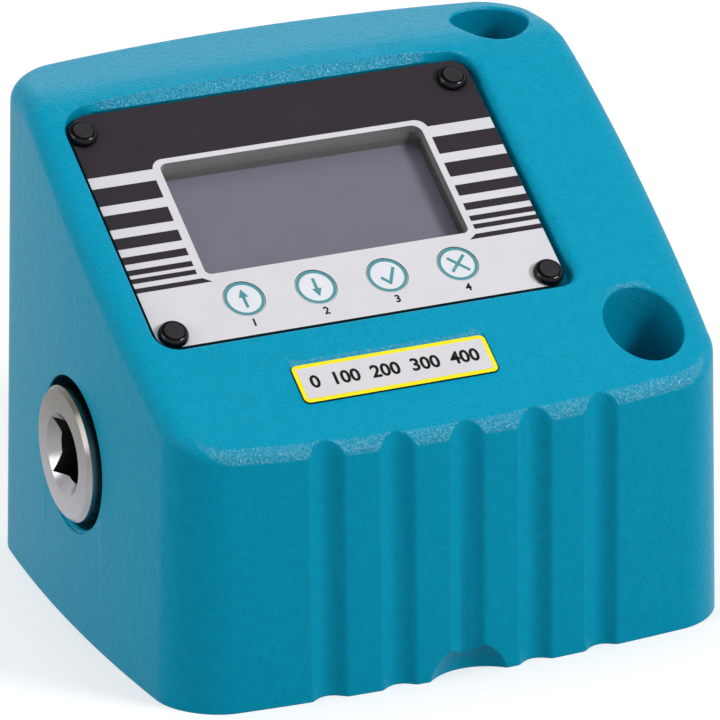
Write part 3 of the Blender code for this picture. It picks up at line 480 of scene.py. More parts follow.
def lens_material():
    """A clear flat window: mostly see-through, with a weak clear reflection."""
    material, tree, shader = new_material("clear_window", (1.0, 1.0, 1.0))
    tree.nodes.remove(shader)
    clear = add_node(tree, "ShaderNodeBsdfTransparent")
    gloss = add_node(tree, "ShaderNodeBsdfGlossy", Roughness=0.06)
    mix = add_node(tree, "ShaderNodeMixShader")
    link(tree, add_node(tree, "ShaderNodeFresnel", IOR=1.2).outputs["Fac"], mix.inputs["Fac"])
    link(tree, clear.outputs["BSDF"], mix.inputs[1])
    link(tree, gloss.outputs["BSDF"], mix.inputs[2])
    link(tree, mix.outputs["Shader"], tree.nodes["Material Output"].inputs["Surface"])
    return material


PAINT = paint_material("turquoise_paint")
# Painted shade: darker copies of the paint for the walls of the bolt holes and the drive bore
HOLE_PAINTED_SHADE = paint_material("hole_paint", 0.68)
BORE_PAINTED_SHADE = paint_material("bore_painted_shade", 0.25)
HUB_STEEL = steel_material("hub_steel", STEEL_PAINTED_LIGHT_LOW, 0.24, turned=True)
SOCKET_STEEL = steel_material("socket_steel", (0.09, 0.085, 0.08), 0.35)
ZINC = steel_material("zinc_plate", (0.60, 0.60, 0.58), 0.38)
WHITE_INK = ink_material("facia_white", (0.72, 0.71, 0.75), specular=0.3)
BLACK_INK = ink_material("facia_black", (0.036, 0.029, 0.036), 0.38, specular=0.2)
TEAL_INK = ink_material("facia_teal", (0.085, 0.315, 0.35))
KEY_WHITE = ink_material("key_white", (0.80, 0.82, 0.87), 0.30)
TEXT_INK = ink_material("text_ink", (0.010, 0.009, 0.010), 0.4, specular=0.2)
PLATE_EDGE = ink_material("plate_edge", (0.012, 0.011, 0.012), 0.5)
LABEL_FILM = ink_material("label_film", (0.72, 0.70, 0.73), 0.36, specular=0.3)
YELLOW_INK = ink_material("label_yellow", (1.0, 0.86, 0.016), 0.36, specular=0.3)
CAP_BLACK = gloss_material("cap_black", (0.002, 0.002, 0.002), 0.06, specular=0.25)
CAP_CROWN = gloss_material("cap_crown", (0.030, 0.028, 0.031), 0.3, specular=0.3)
SOCKET_BLACK = gloss_material("socket_black", (0.012, 0.012, 0.012), 0.3)
DISPLAY_GREY = ink_material("display_grey", (0.225, 0.215, 0.275), 0.25)
DISPLAY_FRAME = ink_material("display_frame", (0.165, 0.164, 0.160), 0.45, specular=0.3)
# Painted light: a lighter grey for the window's upper wall
WINDOW_WALL_PAINTED_LIGHT = ink_material("window_wall_painted_light", (0.23, 0.23, 0.23), 0.35)
LENS_CLEAR = lens_material()
BOARD_GREEN = gloss_material("board_green", (0.01, 0.12, 0.04), 0.35)
SLEEVE_BLACK = gloss_material("sleeve_black", (0.015, 0.015, 0.015), 0.5)
LEAD_RED = gloss_material("lead_red", (0.30, 0.02, 0.02), 0.4)


# Mesh tools

def to_object(name, mesh_data, material=None, matrix=None, smooth=True):
    bmesh.ops.recalc_face_normals(mesh_data, faces=mesh_data.faces)
    mesh = bpy.data.meshes.new(name)
    mesh_data.to_mesh(mesh)
    mesh_data.free()
    if smooth:
        mesh.shade_smooth()
        mesh.set_sharp_from_angle(angle=SHARP_FROM)
    obj = bpy.data.objects.new(name, mesh)
    bpy.context.scene.collection.objects.link(obj)
    if material:
        mesh.materials.append(material)
    if matrix:
        mesh.transform(matrix)
    return obj


def cut(obj, *others, operation="DIFFERENCE"):
    """Applies Booleans with helpers that are then removed."""
    for other in others:
        modifier = obj.modifiers.new(other.name, "BOOLEAN")
        modifier.operation = operation
        modifier.solver = "EXACT"
        modifier.object = other
    apply_modifiers(obj)
    for other in others:
        bpy.data.objects.remove(other, do_unlink=True)


def apply_modifiers(obj):
    bpy.context.view_layer.update()
    graph = bpy.context.evaluated_depsgraph_get()
    mesh = bpy.data.meshes.new_from_object(obj.evaluated_get(graph))
    obj.modifiers.clear()
    obj.data = mesh


def resharpen(obj, angle=CUT_SHARP_FROM):
    obj.data.shade_smooth()
    obj.data.set_sharp_from_angle(angle=angle)


def paint_faces(obj, materials, choose, place=Matrix()):
    """Adds materials, and gives each face the one that choose says from its middle and normal, in place's
    own frame. 0 is the piece's first material."""
    for material in materials:
        obj.data.materials.append(material)
    inverse = place.inverted()
    for face in obj.data.polygons:
        face.material_index = choose(inverse @ face.center, inverse.to_3x3() @ face.normal)


def prism(name, outline, low, high, material=None, matrix=None):
    mesh_data = bmesh.new()
    add_prism(mesh_data, outline, low, high)
    return to_object(name, mesh_data, material, matrix)


def add_prism(mesh_data, outline, low, high):
    verts = [mesh_data.verts.new((x, y, low)) for x, y in outline]
    face = mesh_data.faces.new(verts)
    lifted = bmesh.ops.extrude_face_region(mesh_data, geom=[face])["geom"]
    top = [v for v in lifted if isinstance(v, bmesh.types.BMVert)]
    bmesh.ops.translate(mesh_data, vec=(0, 0, high - low), verts=top)


def prisms(name, outlines, low, high, material=None, matrix=None):
    """Several separate prisms in one piece."""
    mesh_data = bmesh.new()
    for outline in outlines:
        add_prism(mesh_data, outline, low, high)
    return to_object(name, mesh_data, material, matrix)


def rods(name, spots, radius, low, high, steps=MEDIUM_STEPS, matrix=None):
    mesh_data = bmesh.new()
    for x, y in spots:
        place = Matrix.Translation((x, y, (low + high) / 2))
        bmesh.ops.create_cone(mesh_data, cap_ends=True, segments=steps, radius1=radius,
                              radius2=radius, depth=high - low, matrix=place)
    return to_object(name, mesh_data, matrix=matrix)


def turned(name, profile, steps=MEDIUM_STEPS, material=None, matrix=None):
    mesh_data = bmesh.new()
    verts = [mesh_data.verts.new((radius, 0, height)) for radius, height in profile]
    edges = [mesh_data.edges.new(pair) for pair in zip(verts, verts[1:])]
    bmesh.ops.spin(mesh_data, geom=verts + edges, cent=(0, 0, 0), axis=(0, 0, 1),
                   angle=2 * math.pi, steps=steps)
    bmesh.ops.remove_doubles(mesh_data, verts=mesh_data.verts, dist=1e-6)
    return to_object(name, mesh_data, material, matrix)


def loft(name, rings, matrix=None):
    """A closed solid through rings of equally many points, capped at both ends."""
    mesh_data = bmesh.new()
    made = [[mesh_data.verts.new(point) for point in ring] for ring in rings]
    mesh_data.faces.new(made[0])
    mesh_data.faces.new(made[-1])
    for lower, upper in zip(made, made[1:]):
        for index in range(len(lower)):
            following = (index + 1) % len(lower)
            mesh_data.faces.new((lower[index], lower[following], upper[following], upper[index]))
    return to_object(name, mesh_data, matrix=matrix)


def rounded_rectangle(width, height, radii, steps=12, centre=(0.0, 0.0)):
    """Outline points, anticlockwise from the right side of the upper right corner. radii is one radius, or
    four: upper right, upper left, lower left, lower right."""
    points = []
    radii = radii if isinstance(radii, tuple) else (radii,) * 4
    for quarter, (side_x, side_y) in enumerate(((1, 1), (-1, 1), (-1, -1), (1, -1))):
        radius = radii[quarter]
        corner_x = centre[0] + side_x * (width / 2 - radius)
        corner_y = centre[1] + side_y * (height / 2 - radius)
        for step in range(steps + 1):
            angle = (quarter + step / steps) * math.pi / 2
            points.append((corner_x + radius * math.cos(angle), corner_y + radius * math.sin(angle)))
    return points


def corner_spots(x, y):
    return [(-x, -y), (x, -y), (x, y), (-x, y)]


def flange_screw_spots():
    angles = [2 * math.pi * index / FLANGE_SCREWS for index in range(FLANGE_SCREWS)]
    return [(FLANGE_SCREW_CIRCLE_R * math.cos(a), FLANGE_SCREW_CIRCLE_R * math.sin(a)) for a in angles]


def key_spots():
    return [(KEY_PITCH * (index - 1.5), -KEY_DOWN) for index in range(len(KEY_BODIES))]


def rivet_spots():
    """The caps' places; the upper two sit a little to the left and lower."""
    lower = [(x, -RIVET_Y - RIVET_DROP) for x in (-RIVET_X, RIVET_X)]
    upper = [(x - UPPER_RIVETS_LEFT, RIVET_Y - RIVET_DROP - UPPER_RIVETS_DOWN) for x in (RIVET_X, -RIVET_X)]
    return lower + upper


def window_outline(margin, top_drop=0.0):
    """The window's outline grown by margin, its upper side lowered by top_drop."""
    radii = tuple(radius + margin for radius in WINDOW_CORNERS)
    return rounded_rectangle(WINDOW_WIDTH + 2 * margin, WINDOW_HEIGHT + 2 * margin - top_drop, radii,
                             centre=(0, WINDOW_UP - top_drop / 2))


# Housing

def flute_depth(x):
    """Round-bottomed flutes with tight shoulders."""
    nearest = min(max(round(x / FLUTE_PITCH), -(FLUTE_COUNT // 2)), FLUTE_COUNT // 2)
    offset = (x - nearest * FLUTE_PITCH) / (FLUTE_WIDTH / 2)
    below = FLUTE_DEPTH * (1 - offset ** 2) / FLUTE_SHOULDER
    return FLUTE_SHOULDER * (max(below, 0.0) + math.log1p(math.exp(-abs(below))))


def front_stations(limit, fluted, steps):
    if not fluted:
        return [limit * (1 - step / steps) for step in range(steps)] + [0.0]
    edge = FLUTE_COUNT // 2 * FLUTE_PITCH + 0.75 * FLUTE_WIDTH
    spacing = FLUTE_WIDTH / FLUTE_STEPS
    count = int(edge / spacing)
    return [limit, (limit + edge) / 2] + [edge * (1 - index / count) for index in range(count)] + [0.0]


def half_plan(inset, fluted=False, steps=12):
    """Right half of the plan outline, rear middle to front middle: (place, outward, on the front)."""
    half_x = HALF_WIDTH - SIDE_BOW - inset
    front_y = HALF_DEPTH - FRONT_BOW - inset
    rear_y = HALF_DEPTH - REAR_BOW - inset
    front_r = max(FRONT_CORNER_R - inset, INNER_EDGE_R)
    rear_r = max(REAR_CORNER_R - inset, INNER_EDGE_R)
    flat = [((half_x - rear_r) * step / steps, rear_y, 0, 1, False) for step in range(steps)]
    for step in range(steps + 1):
        angle = math.pi / 2 * (1 - step / steps)
        out, along = math.cos(angle), math.sin(angle)
        flat.append((half_x - rear_r + rear_r * out, rear_y - rear_r + rear_r * along, out, along, False))
    for step in range(1, steps):
        y = rear_y - rear_r + (front_r - front_y - rear_y + rear_r) * step / steps
        flat.append((half_x, y, 1, 0, False))
    for step in range(steps):
        angle = -math.pi / 2 * step / steps
        out, along = math.cos(angle), math.sin(angle)
        flat.append((half_x - front_r + front_r * out, front_r - front_y + front_r * along,
                     out, along, False))
    flat += [(x, -front_y, 0, -1, True) for x in front_stations(half_x - front_r, fluted, steps)]
    plan = []
    for x, y, out_x, out_y, on_front in flat:
        depth, bow = (rear_y, REAR_BOW) if y > 0 else (front_y, FRONT_BOW)
        bowed_x = x * (1 + SIDE_BOW / half_x * (1 - (y / depth) ** 2))
        bowed_y = y * (1 + bow / depth * (1 - (x / half_x) ** 2))
        plan.append((Vector((bowed_x, bowed_y)), Vector((out_x, out_y)), on_front))
    return plan


def skin_column(place, outward, on_front, sizes):
    """Points up one line of the skin, from its foot to the end of its top rounding."""
    height = BODY_HEIGHT
    depths = sizes["slope_depth"], sizes["top_depth"]
    for _ in range(5):
        corner = place - outward * math.tan(DRAFT) * height
        height = top_height(corner.x, corner.y, *depths)
    inner = corner - outward * GAP
    fall = (top_height(inner.x, inner.y, *depths) - height) / GAP
    sweep = math.pi / 2 - math.atan(fall)
    radius = sizes["edge_r"]
    spring = height - radius * math.tan(sweep / 2)
    points = [(0.0, sizes["foot"]), (0.0, spring)]
    for step in range(1, sizes["edge_steps"] + 1):
        angle = sweep * step / sizes["edge_steps"]
        points.append((radius * (1 - math.cos(angle)), spring + radius * math.sin(angle)))
    column = []
    for inward, level in points:
        wall = place - outward * math.tan(DRAFT) * min(level, spring)
        spot = wall - outward * inward
        if on_front and sizes["fluted"]:
            spot.y = max(spot.y, place.y + math.tan(DRAFT) * level + flute_depth(place.x))
        column.append(Vector((spot.x, spot.y, level)))
    column[-1].z = top_height(column[-1].x, column[-1].y, *depths)
    return column


def skin_solid(name, material=None, steps=12, columns_across=32, **sizes):
    """A closed solid under the skin: a wall, a rounded edge, a top of rows across, and a flat foot."""
    mesh_data = bmesh.new()
    plan = half_plan(sizes["inset"], sizes["fluted"], steps)
    right = [skin_column(*spot, sizes) for spot in plan]
    ring = [[mesh_data.verts.new(point) for point in column] for column in right]
    ring += [[mesh_data.verts.new((-p.x, p.y, p.z)) for p in column] for column in reversed(right[1:-1])]
    total = len(ring)
    for index in range(total):
        here, there = ring[index], ring[(index + 1) % total]
        for level in range(len(here) - 1):
            mesh_data.faces.new((here[level], there[level], there[level + 1], here[level + 1]))
    mesh_data.faces.new([column[0] for column in ring])
    last = next(index for index, spot in enumerate(plan) if spot[2])
    rows = [[ring[0][-1]]]
    for index in range(1, last + 1):
        near, far = ring[index][-1], ring[total - index][-1]
        row = [near]
        for step in range(1, columns_across):
            x = near.co.x * (1 - 2 * step / columns_across)
            z = top_height(x, near.co.y, sizes["slope_depth"], sizes["top_depth"])
            row.append(mesh_data.verts.new((x, near.co.y, z)))
        rows.append(row + [far])
    for step in range(columns_across):
        mesh_data.faces.new((rows[0][0], rows[1][step], rows[1][step + 1]))
    for upper, lower in zip(rows[1:], rows[2:]):
        for step in range(columns_across):
            mesh_data.faces.new((upper[step], upper[step + 1], lower[step + 1], lower[step]))
    front_edge = [ring[index][-1] for index in range(last + 1, total - last)]
    mesh_data.faces.new(rows[-1] + list(reversed(front_edge)))
    return to_object(name, mesh_data, material)


def full_plan(inset):
    right = [spot[0] for spot in half_plan(inset)]
    return [(p.x, p.y) for p in right] + [(-p.x, p.y) for p in reversed(right[1:-1])]


def cavity_cutter():
    """The hollow under the housing, less the web, the bolt columns and the screw bosses."""
    cavity = skin_solid("cavity_cutter", steps=6, columns_across=6, inset=WALL,
                        slope_depth=PLATE_INSET - INNER_SKIN, top_depth=TOP_WALL, edge_r=INNER_EDGE_R,
                        edge_steps=4, foot=-RUN_OUT, fluted=False)
    inset = BASE_RIM + BASE_SCREW_EDGE
    left = -HALF_WIDTH + SIDE_BOW + inset
    right = HALF_WIDTH - inset
    boss_spots = [(left, -HALF_DEPTH + FRONT_BOW + inset), (left, HALF_DEPTH - REAR_BOW - inset),
                  (right, -BASE_SCREW_RIGHT_SPAN / 2), (right, BASE_SCREW_RIGHT_SPAN / 2)]
    web_plan = [(WEB_X, -HALF_DEPTH), (WEB_X + WEB_THICKNESS, -HALF_DEPTH),
                (WEB_X + WEB_THICKNESS, HALF_DEPTH), (WEB_X, HALF_DEPTH)]
    cut(cavity,
        prism("web_keeper", web_plan, -2 * RUN_OUT, WEB_HEIGHT),
        rods("column_keeper", BOLT_SPOTS, BOLT_HEAD_R + COLUMN_WALL, -2 * RUN_OUT, BODY_HEIGHT),
        rods("boss_keeper", boss_spots, BASE_BOSS_R, -2 * RUN_OUT, BODY_HEIGHT, HOLE_STEPS),
        rods("board_boss_keeper", corner_spots(KEY_PITCH, BOARD_BOSS_Y), BOARD_BOSS_R, BOARD_BOSS_LOW, 0.0,
             HOLE_STEPS, matrix=FACIA))
    screw_holes = rods("base_screw_hole_cutter", boss_spots, BASE_SCREW_HOLE_R, BASE_THICKNESS,
                       BASE_SCREW_HOLE_END, HOLE_STEPS)
    return cavity, screw_holes


def recess_cutter():
    """The facia's recess: a leaning, bowed upper wall, and a rounded lip of its own radius on each side."""
    width = PLATE_WIDTH + RECESS_LEFT_GAP + RECESS_RIGHT_GAP
    height = PLATE_HEIGHT + RECESS_TOP_GAP + RECESS_BOTTOM_GAP
    middle = ((RECESS_RIGHT_GAP - RECESS_LEFT_GAP) / 2, (RECESS_TOP_GAP - RECESS_BOTTOM_GAP) / 2)
    steps_across, corner_steps = 32, 12
    outline = rounded_rectangle(width, height, RECESS_CORNERS, corner_steps, middle)
    corner = len(outline) // 4
    points = []
    for index, (x, y) in enumerate(outline):
        angle = (index // corner + index % corner / corner_steps) * math.pi / 2
        out_x, out_y = math.cos(angle), math.sin(angle)
        side_lip = RECESS_RIGHT_LIP if out_x > 0 else RECESS_LEFT_LIP
        end_lip = RECESS_TOP_LIP if out_y > 0 else RECESS_BOTTOM_LIP
        points.append((x, y, out_x, out_y, side_lip * out_x ** 2 + end_lip * out_y ** 2))
        if index == corner - 1:
            across = x - outline[corner][0]
            points += [(x - across * step / steps_across, y, 0.0, 1.0, RECESS_TOP_LIP)
                       for step in range(1, steps_across)]
    arc = [RECESS_LIP_TURN * step / LIP_STEPS for step in range(LIP_STEPS + 1)]
    rings = [[(x, y, level) for x, y, *_ in points] for level in (RECESS_FLOOR, 0.0)]
    for angle in arc + [None]:
        ring = []
        for x, y, out_x, out_y, lip in points:
            turn = arc[-1] if angle is None else angle
            level = PLATE_INSET - lip + lip * math.sin(turn)
            offset = lip * (1 - math.cos(turn))
            if angle is None:
                level += RUN_OUT / 2 * math.cos(turn)
                offset += RUN_OUT / 2 * math.sin(turn)
            bow = max(0.0, 1 - abs(2 * x / width) ** 3) if out_y > 0.5 else 0.0
            flare = RECESS_TOP_FLARE * bow * max(level, 0.0) / PLATE_INSET
            ring.append((x + out_x * offset, y + out_y * offset + flare, level))
        rings.append(ring)
    return loft("recess_cutter", rings, FACIA)


def bolt_head_cutter(name, spot):
    """A counterbore whose painted rim is rounded over, wherever the skin slopes."""
    lip = BOLT_RIM
    rings = []
    rims = []
    for index in range(FINE_STEPS):
        angle = 2 * math.pi * index / FINE_STEPS
        out = Vector((math.cos(angle), math.sin(angle), 0))
        rim = Vector((*spot, 0)) + out * BOLT_HEAD_R
        rim.z = top_height(rim.x, rim.y)
        far = rim + out * lip
        far.z = top_height(far.x, far.y) + BOLT_RIM_LIFT
        rims.append((out, rim, far))
    rings.append([Vector((rim.x, rim.y, BOLT_SEAT_HEIGHT)) for _, rim, _ in rims])
    for step in range(LIP_STEPS + 1):
        t = step / LIP_STEPS
        rings.append([(rim - Vector((0, 0, lip))) * (1 - t) ** 2 + rim * 2 * t * (1 - t) + far * t ** 2
                      for _, rim, far in rims])
    rings.append([far + out * lip * 0.3 + Vector((0, 0, RUN_OUT)) for out, _, far in rims])
    return loft(name, rings)


def make_housing():
    housing = skin_solid("housing_shell", PAINT, steps=20, columns_across=40, inset=0.0, slope_depth=0.0,
                         top_depth=0.0, edge_r=EDGE_R, edge_steps=10, foot=0.0, fluted=True)
    cavity, screw_holes = cavity_cutter()
    scoop = bmesh.new()
    bmesh.ops.create_uvsphere(scoop, u_segments=96, v_segments=64, radius=SCOOP_RADIUS)
    scoop_place = Matrix.Translation((0, -HALF_DEPTH + SCOOP_DEPTH - SCOOP_RADIUS, -SCOOP_DROP))
    inlet = inlet_frame()
    web_start = WEB_X - HUB_FACE_X
    label_pocket = rounded_rectangle(LABEL_WIDTH + 2 * GAP, LABEL_HEIGHT + 2 * GAP, LABEL_CORNER_R + GAP, 4,
                                     (-LABEL_LEFT, -LABEL_DOWN))
    pocket_rings = [[(x, y, PLATE_INSET - LABEL_POCKET) for x, y in label_pocket]]
    for level in (PLATE_INSET, PLATE_INSET + RUN_OUT):
        pocket_rings.append([(x, y + LABEL_RIM if y > -LABEL_DOWN else y, level) for x, y in label_pocket])
    cut(housing, cavity,
        prism("base_rebate_cutter", full_plan(BASE_RIM), -RUN_OUT, BASE_THICKNESS + GAP),
        screw_holes,
        bolt_head_cutter("front_bolt_head_cutter", BOLT_SPOTS[0]),
        bolt_head_cutter("rear_bolt_head_cutter", BOLT_SPOTS[1]),
        rods("bolt_hole_cutter", BOLT_SPOTS, BOLT_CLEARANCE_R, -RUN_OUT, BOLT_SEAT_HEIGHT + RUN_OUT),
        to_object("scoop_cutter", scoop, matrix=scoop_place),
        recess_cutter(),
        prism("display_opening_cutter", window_outline(LENS_MARGIN + GAP), INNER_SKIN - RUN_OUT,
              RECESS_FLOOR + GAP, matrix=FACIA),
        rods("stem_hole_cutter", key_spots(), KEY_STEM_R + 2 * GAP, INNER_SKIN - GAP, RECESS_FLOOR + GAP,
             STEM_STEPS, matrix=FACIA),
        loft("label_pocket_cutter", pocket_rings, FACIA),
        drive_bore_cutter(),
        rods("web_screw_hole_cutter", flange_screw_spots(), FLANGE_SCREW_R + GAP, web_start - GAP,
             web_start + FLANGE_SCREW_BITE, HOLE_STEPS, matrix=DRIVE),
        rods("inlet_spot_cutter", ON_AXIS, INLET_SPOT_R, 0.0, INLET_SPOT_DEPTH + RUN_OUT, matrix=inlet),
        rods("inlet_seat_cutter", ON_AXIS, INLET_NUT_R + 2 * GAP, -INLET_WALL - RUN_OUT, -INLET_WALL,
             matrix=inlet),
        rods("inlet_hole_cutter", ON_AXIS, INLET_BARREL_R + GAP, -INLET_WALL - RUN_OUT, RUN_OUT,
             matrix=inlet))
    paint_holes(housing)
    resharpen(housing, HOUSING_SHARP_FROM)
    add_piece(housing, TESTER, "housing", "housing")


def paint_holes(housing):
    """Painted shade: darker paint inside the bolt holes and the drive bore, where shade falls."""
    bore_start = -HALF_WIDTH + DRIVE_HEIGHT * math.tan(DRAFT) + BORE_RIM

    # Picks the painted shade for faces in the drive bore and below the bolt holes' rims
    def hole_paint(middle, facing):
        off_axis = math.hypot(middle.y, middle.z - DRIVE_HEIGHT)
        if off_axis < DRIVE_BORE_R + GAP and bore_start < middle.x < WEB_X:
            return 2
        near = any(math.hypot(middle.x - x, middle.y - y) < BOLT_HEAD_R + GAP for x, y in BOLT_SPOTS)
        return int(near and middle.z < top_height(middle.x, middle.y) - BOLT_RIM)

    paint_faces(housing, (HOLE_PAINTED_SHADE, BORE_PAINTED_SHADE), hole_paint)


def drive_bore_cutter():
    """The bore round the hub, with a rounded painted rim."""
    wall = -HALF_WIDTH + DRIVE_HEIGHT * math.tan(DRAFT) - HUB_FACE_X
    profile = [(0.0, HUB_LENGTH), (DRIVE_BORE_R, HUB_LENGTH)]
    for step in range(LIP_STEPS + 1):
        angle = BORE_RIM_TURN * step / LIP_STEPS
        profile.append((DRIVE_BORE_R + BORE_RIM * (1 - math.cos(angle)),
                        wall + BORE_RIM * (1 - math.sin(angle))))
    profile += [(profile[-1][0] + BORE_FLARE, wall - RUN_OUT), (0.0, wall - RUN_OUT)]
    return turned("drive_bore_cutter", profile, FINE_STEPS, matrix=DRIVE)


def inlet_frame():
    """A frame whose Z runs out of the rear wall, from the floor of the inlet's spot face."""
    half_x = HALF_WIDTH - SIDE_BOW
    outer = HALF_DEPTH - REAR_BOW * (INLET_X / half_x) ** 2 - math.tan(DRAFT) * INLET_HEIGHT
    place = Matrix.Translation((INLET_X, outer - INLET_SPOT_DEPTH, INLET_HEIGHT))
    return place @ Matrix.Rotation(-math.pi / 2, 4, "X")


def add_piece(obj, body, slot, *nodes):
    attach(obj, body)
    if nodes:
        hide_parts(*nodes)


# Facia, print and keys

def make_plate():
    """The facia plate: white film on top, dark cut edges, and painted light on the window's upper wall, a
    lighter grey than its other walls.
    """
    outline = rounded_rectangle(PLATE_WIDTH, PLATE_HEIGHT, PLATE_CORNERS)
    plate = prism("facia_panel", outline, -PLATE_THICKNESS, 0.0, WHITE_INK, FACIA)
    low, high = -PLATE_THICKNESS - GAP, GAP
    cut(plate,
        prism("window_cutter", window_outline(0.0), low, high, matrix=FACIA),
        rods("key_hole_cutter", key_spots(), KEY_HOLE_R, low, high, matrix=FACIA),
        rods("rivet_hole_cutter", rivet_spots(), RIVET_HOLE_R, low, high, STEM_STEPS, matrix=FACIA))

    def edge_material(middle, facing):
        if facing.z > 0.9:
            return 0
        across, up = abs(middle.x) - WINDOW_WIDTH / 2, abs(middle.y - WINDOW_UP) - WINDOW_HEIGHT / 2
        if across > GAP or up > GAP:
            return 1
        # Painted light: the window's upper wall, which faces down the slope, gets a lighter grey than its
        # other walls
        return 3 if facing.y < -0.8 else 2

    paint_faces(plate, (PLATE_EDGE, DISPLAY_FRAME, WINDOW_WALL_PAINTED_LIGHT), edge_material, FACIA)
    resharpen(plate)
    add_piece(plate, TESTER, "facia", "facia_plate")


def band_outline():
    """The black band over the window: the plate's upper end, less the white border of the window."""
    plate = rounded_rectangle(PLATE_WIDTH, PLATE_HEIGHT, PLATE_CORNERS)
    quarter = len(plate) // 4
    side = WINDOW_WIDTH / 2 + WINDOW_SIDE_BORDER
    top = WINDOW_UP + WINDOW_HEIGHT / 2 + WINDOW_TOP_BORDER
    border = rounded_rectangle(2 * side, 2 * top, BORDER_CORNER_R)
    inner = [p for p in border[:2 * quarter] if p[1] > BAND_LOW]
    half = PLATE_WIDTH / 2
    return (plate[:2 * quarter] + [(-half, BAND_LOW), (-side, BAND_LOW)] + list(reversed(inner))
            + [(side, BAND_LOW), (half, BAND_LOW)])


def stripe_outlines():
    """Stripes on both sides of the window, from the window's border out to the plate's edge."""
    outer = PLATE_WIDTH / 2
    stripes = [(0.01212, 0.00732), (0.00468, 0.00070), (-0.00178, -0.00475), (-0.00693, -0.00890),
               (-0.01054, -0.01196), (-0.01293, -0.01418)]
    outlines = []
    for side, inner in ((-1, 0.0329), (1, 0.03245)):
        for high, low in stripes:
            outlines.append([(side * inner, low), (side * outer, low), (side * outer, high),
                             (side * inner, high)])
        outlines.append([(side * 0.0303, -0.01678), (side * outer, -0.01678), (side * outer, -0.01553),
                         (side * 0.0321, -0.01553), (side * 0.0313, -0.01610)])
    return outlines


def stroke(points):
    """Outlines of straight strokes, one for each run between two points."""
    outlines = []
    for (x0, y0), (x1, y1) in zip(points, points[1:]):
        length = math.hypot(x1 - x0, y1 - y0)
        across = Vector((y0 - y1, x1 - x0)) / length * SYMBOL_STROKE / 2
        along = Vector((x1 - x0, y1 - y0)) / length * SYMBOL_STROKE / 2
        start, end = Vector((x0, y0)), Vector((x1, y1)) + along
        outlines.append([start - across, end - across, end + across, start + across])
    return [[(p.x, p.y) for p in outline] for outline in outlines]


def key_symbols():
    """Plain symbols for the four keys: an arrow up, an arrow down, a tick and a cross."""
    arrow = stroke([(0, -0.0024), (0, 0.0008)])
    arrow.append([(-0.0011, 0.0004), (0.0011, 0.0004), (0, 0.0026)])
    down = [[(-x, -y) for x, y in outline] for outline in arrow]
    tick = stroke([(-0.0016, -0.0003), (0.0, -0.0021), (0.0019, 0.0016)])
    reach = 0.0019
    cross = stroke([(-reach, reach), (reach, -reach)]) + stroke([(-reach, -reach), (reach, reach)])
    return [arrow, down, tick, cross]


def make_keys():
    """Round keys with a coloured ring and a symbol, each with its stem."""
    stem_end, rim = INNER_SKIN - GAP, KEY_R - KEY_EDGE_R
    for (name, body), (x, y), symbol in zip(KEY_BODIES.items(), key_spots(), key_symbols()):
        place = FACIA @ Matrix.Translation((x, y, 0))
        cap = turned(f"{name}_cap", [
            (0, stem_end), (KEY_STEM_R, stem_end), (KEY_STEM_R, -KEY_THICKNESS), (KEY_R, -KEY_THICKNESS),
            (KEY_R, -KEY_EDGE_R), (rim, 0), (0, 0)], FINE_STEPS, KEY_WHITE, place)
        add_piece(cap, body, "keys", name)
        ring = turned(f"{name}_ring", [
            (KEY_R - KEY_RING, -INK), (rim, -INK), (rim, INK), (KEY_R - KEY_RING, INK),
            (KEY_R - KEY_RING, -INK)], FINE_STEPS, TEAL_INK, place)
        add_piece(ring, body, "keys")
        glyph = flat_union(f"{name}_symbol", symbol, TEAL_INK, place)
        add_piece(glyph, body, "keys")


def flat_union(name, outlines, material, place):
    """Overlapping flat prisms joined into one ink shape."""
    first = prism(name, outlines[0], -INK, INK, material, place)
    others = [prism(f"{name}_{index}", outline, -INK, INK, None, place)
              for index, outline in enumerate(outlines[1:])]
    if others:
        cut(first, *others, operation="UNION")
    return first


def text_piece(name, words, size, place, slot):
    """Plain numerals as a thin layer of ink, centred on place."""
    curve = bpy.data.curves.new(name, "FONT")
    curve.body = words
    curve.size = size
    curve.align_x = "CENTER"
    curve.align_y = "CENTER"
    curve.extrude = INK
    curve.offset = size * BOLDER
    curve.resolution_u = 4
    source = bpy.data.objects.new(f"{name}_source", curve)
    bpy.context.scene.collection.objects.link(source)
    bpy.context.view_layer.update()
    graph = bpy.context.evaluated_depsgraph_get()
    mesh = bpy.data.meshes.new_from_object(source.evaluated_get(graph))
    bpy.data.objects.remove(source, do_unlink=True)
    mesh.transform(place)
    mesh.materials.clear()
    mesh.materials.append(TEXT_INK)
    obj = bpy.data.objects.new(name, mesh)
    bpy.context.scene.collection.objects.link(obj)
    add_piece(obj, TESTER, slot)


def make_print():
    add_piece(prisms("print_stripes", stripe_outlines(), -INK, INK, BLACK_INK, FACIA), TESTER, "facia")
    add_piece(prism("print_band", band_outline(), -INK, INK, BLACK_INK, FACIA), TESTER, "facia")
    for number, (x, y) in enumerate(key_spots(), 1):
        place = FACIA @ Matrix.Translation((x, y - NUMERAL_DOWN, 0))
        text_piece(f"print_numeral_{number}", str(number), NUMERAL_SIZE, place, "facia")


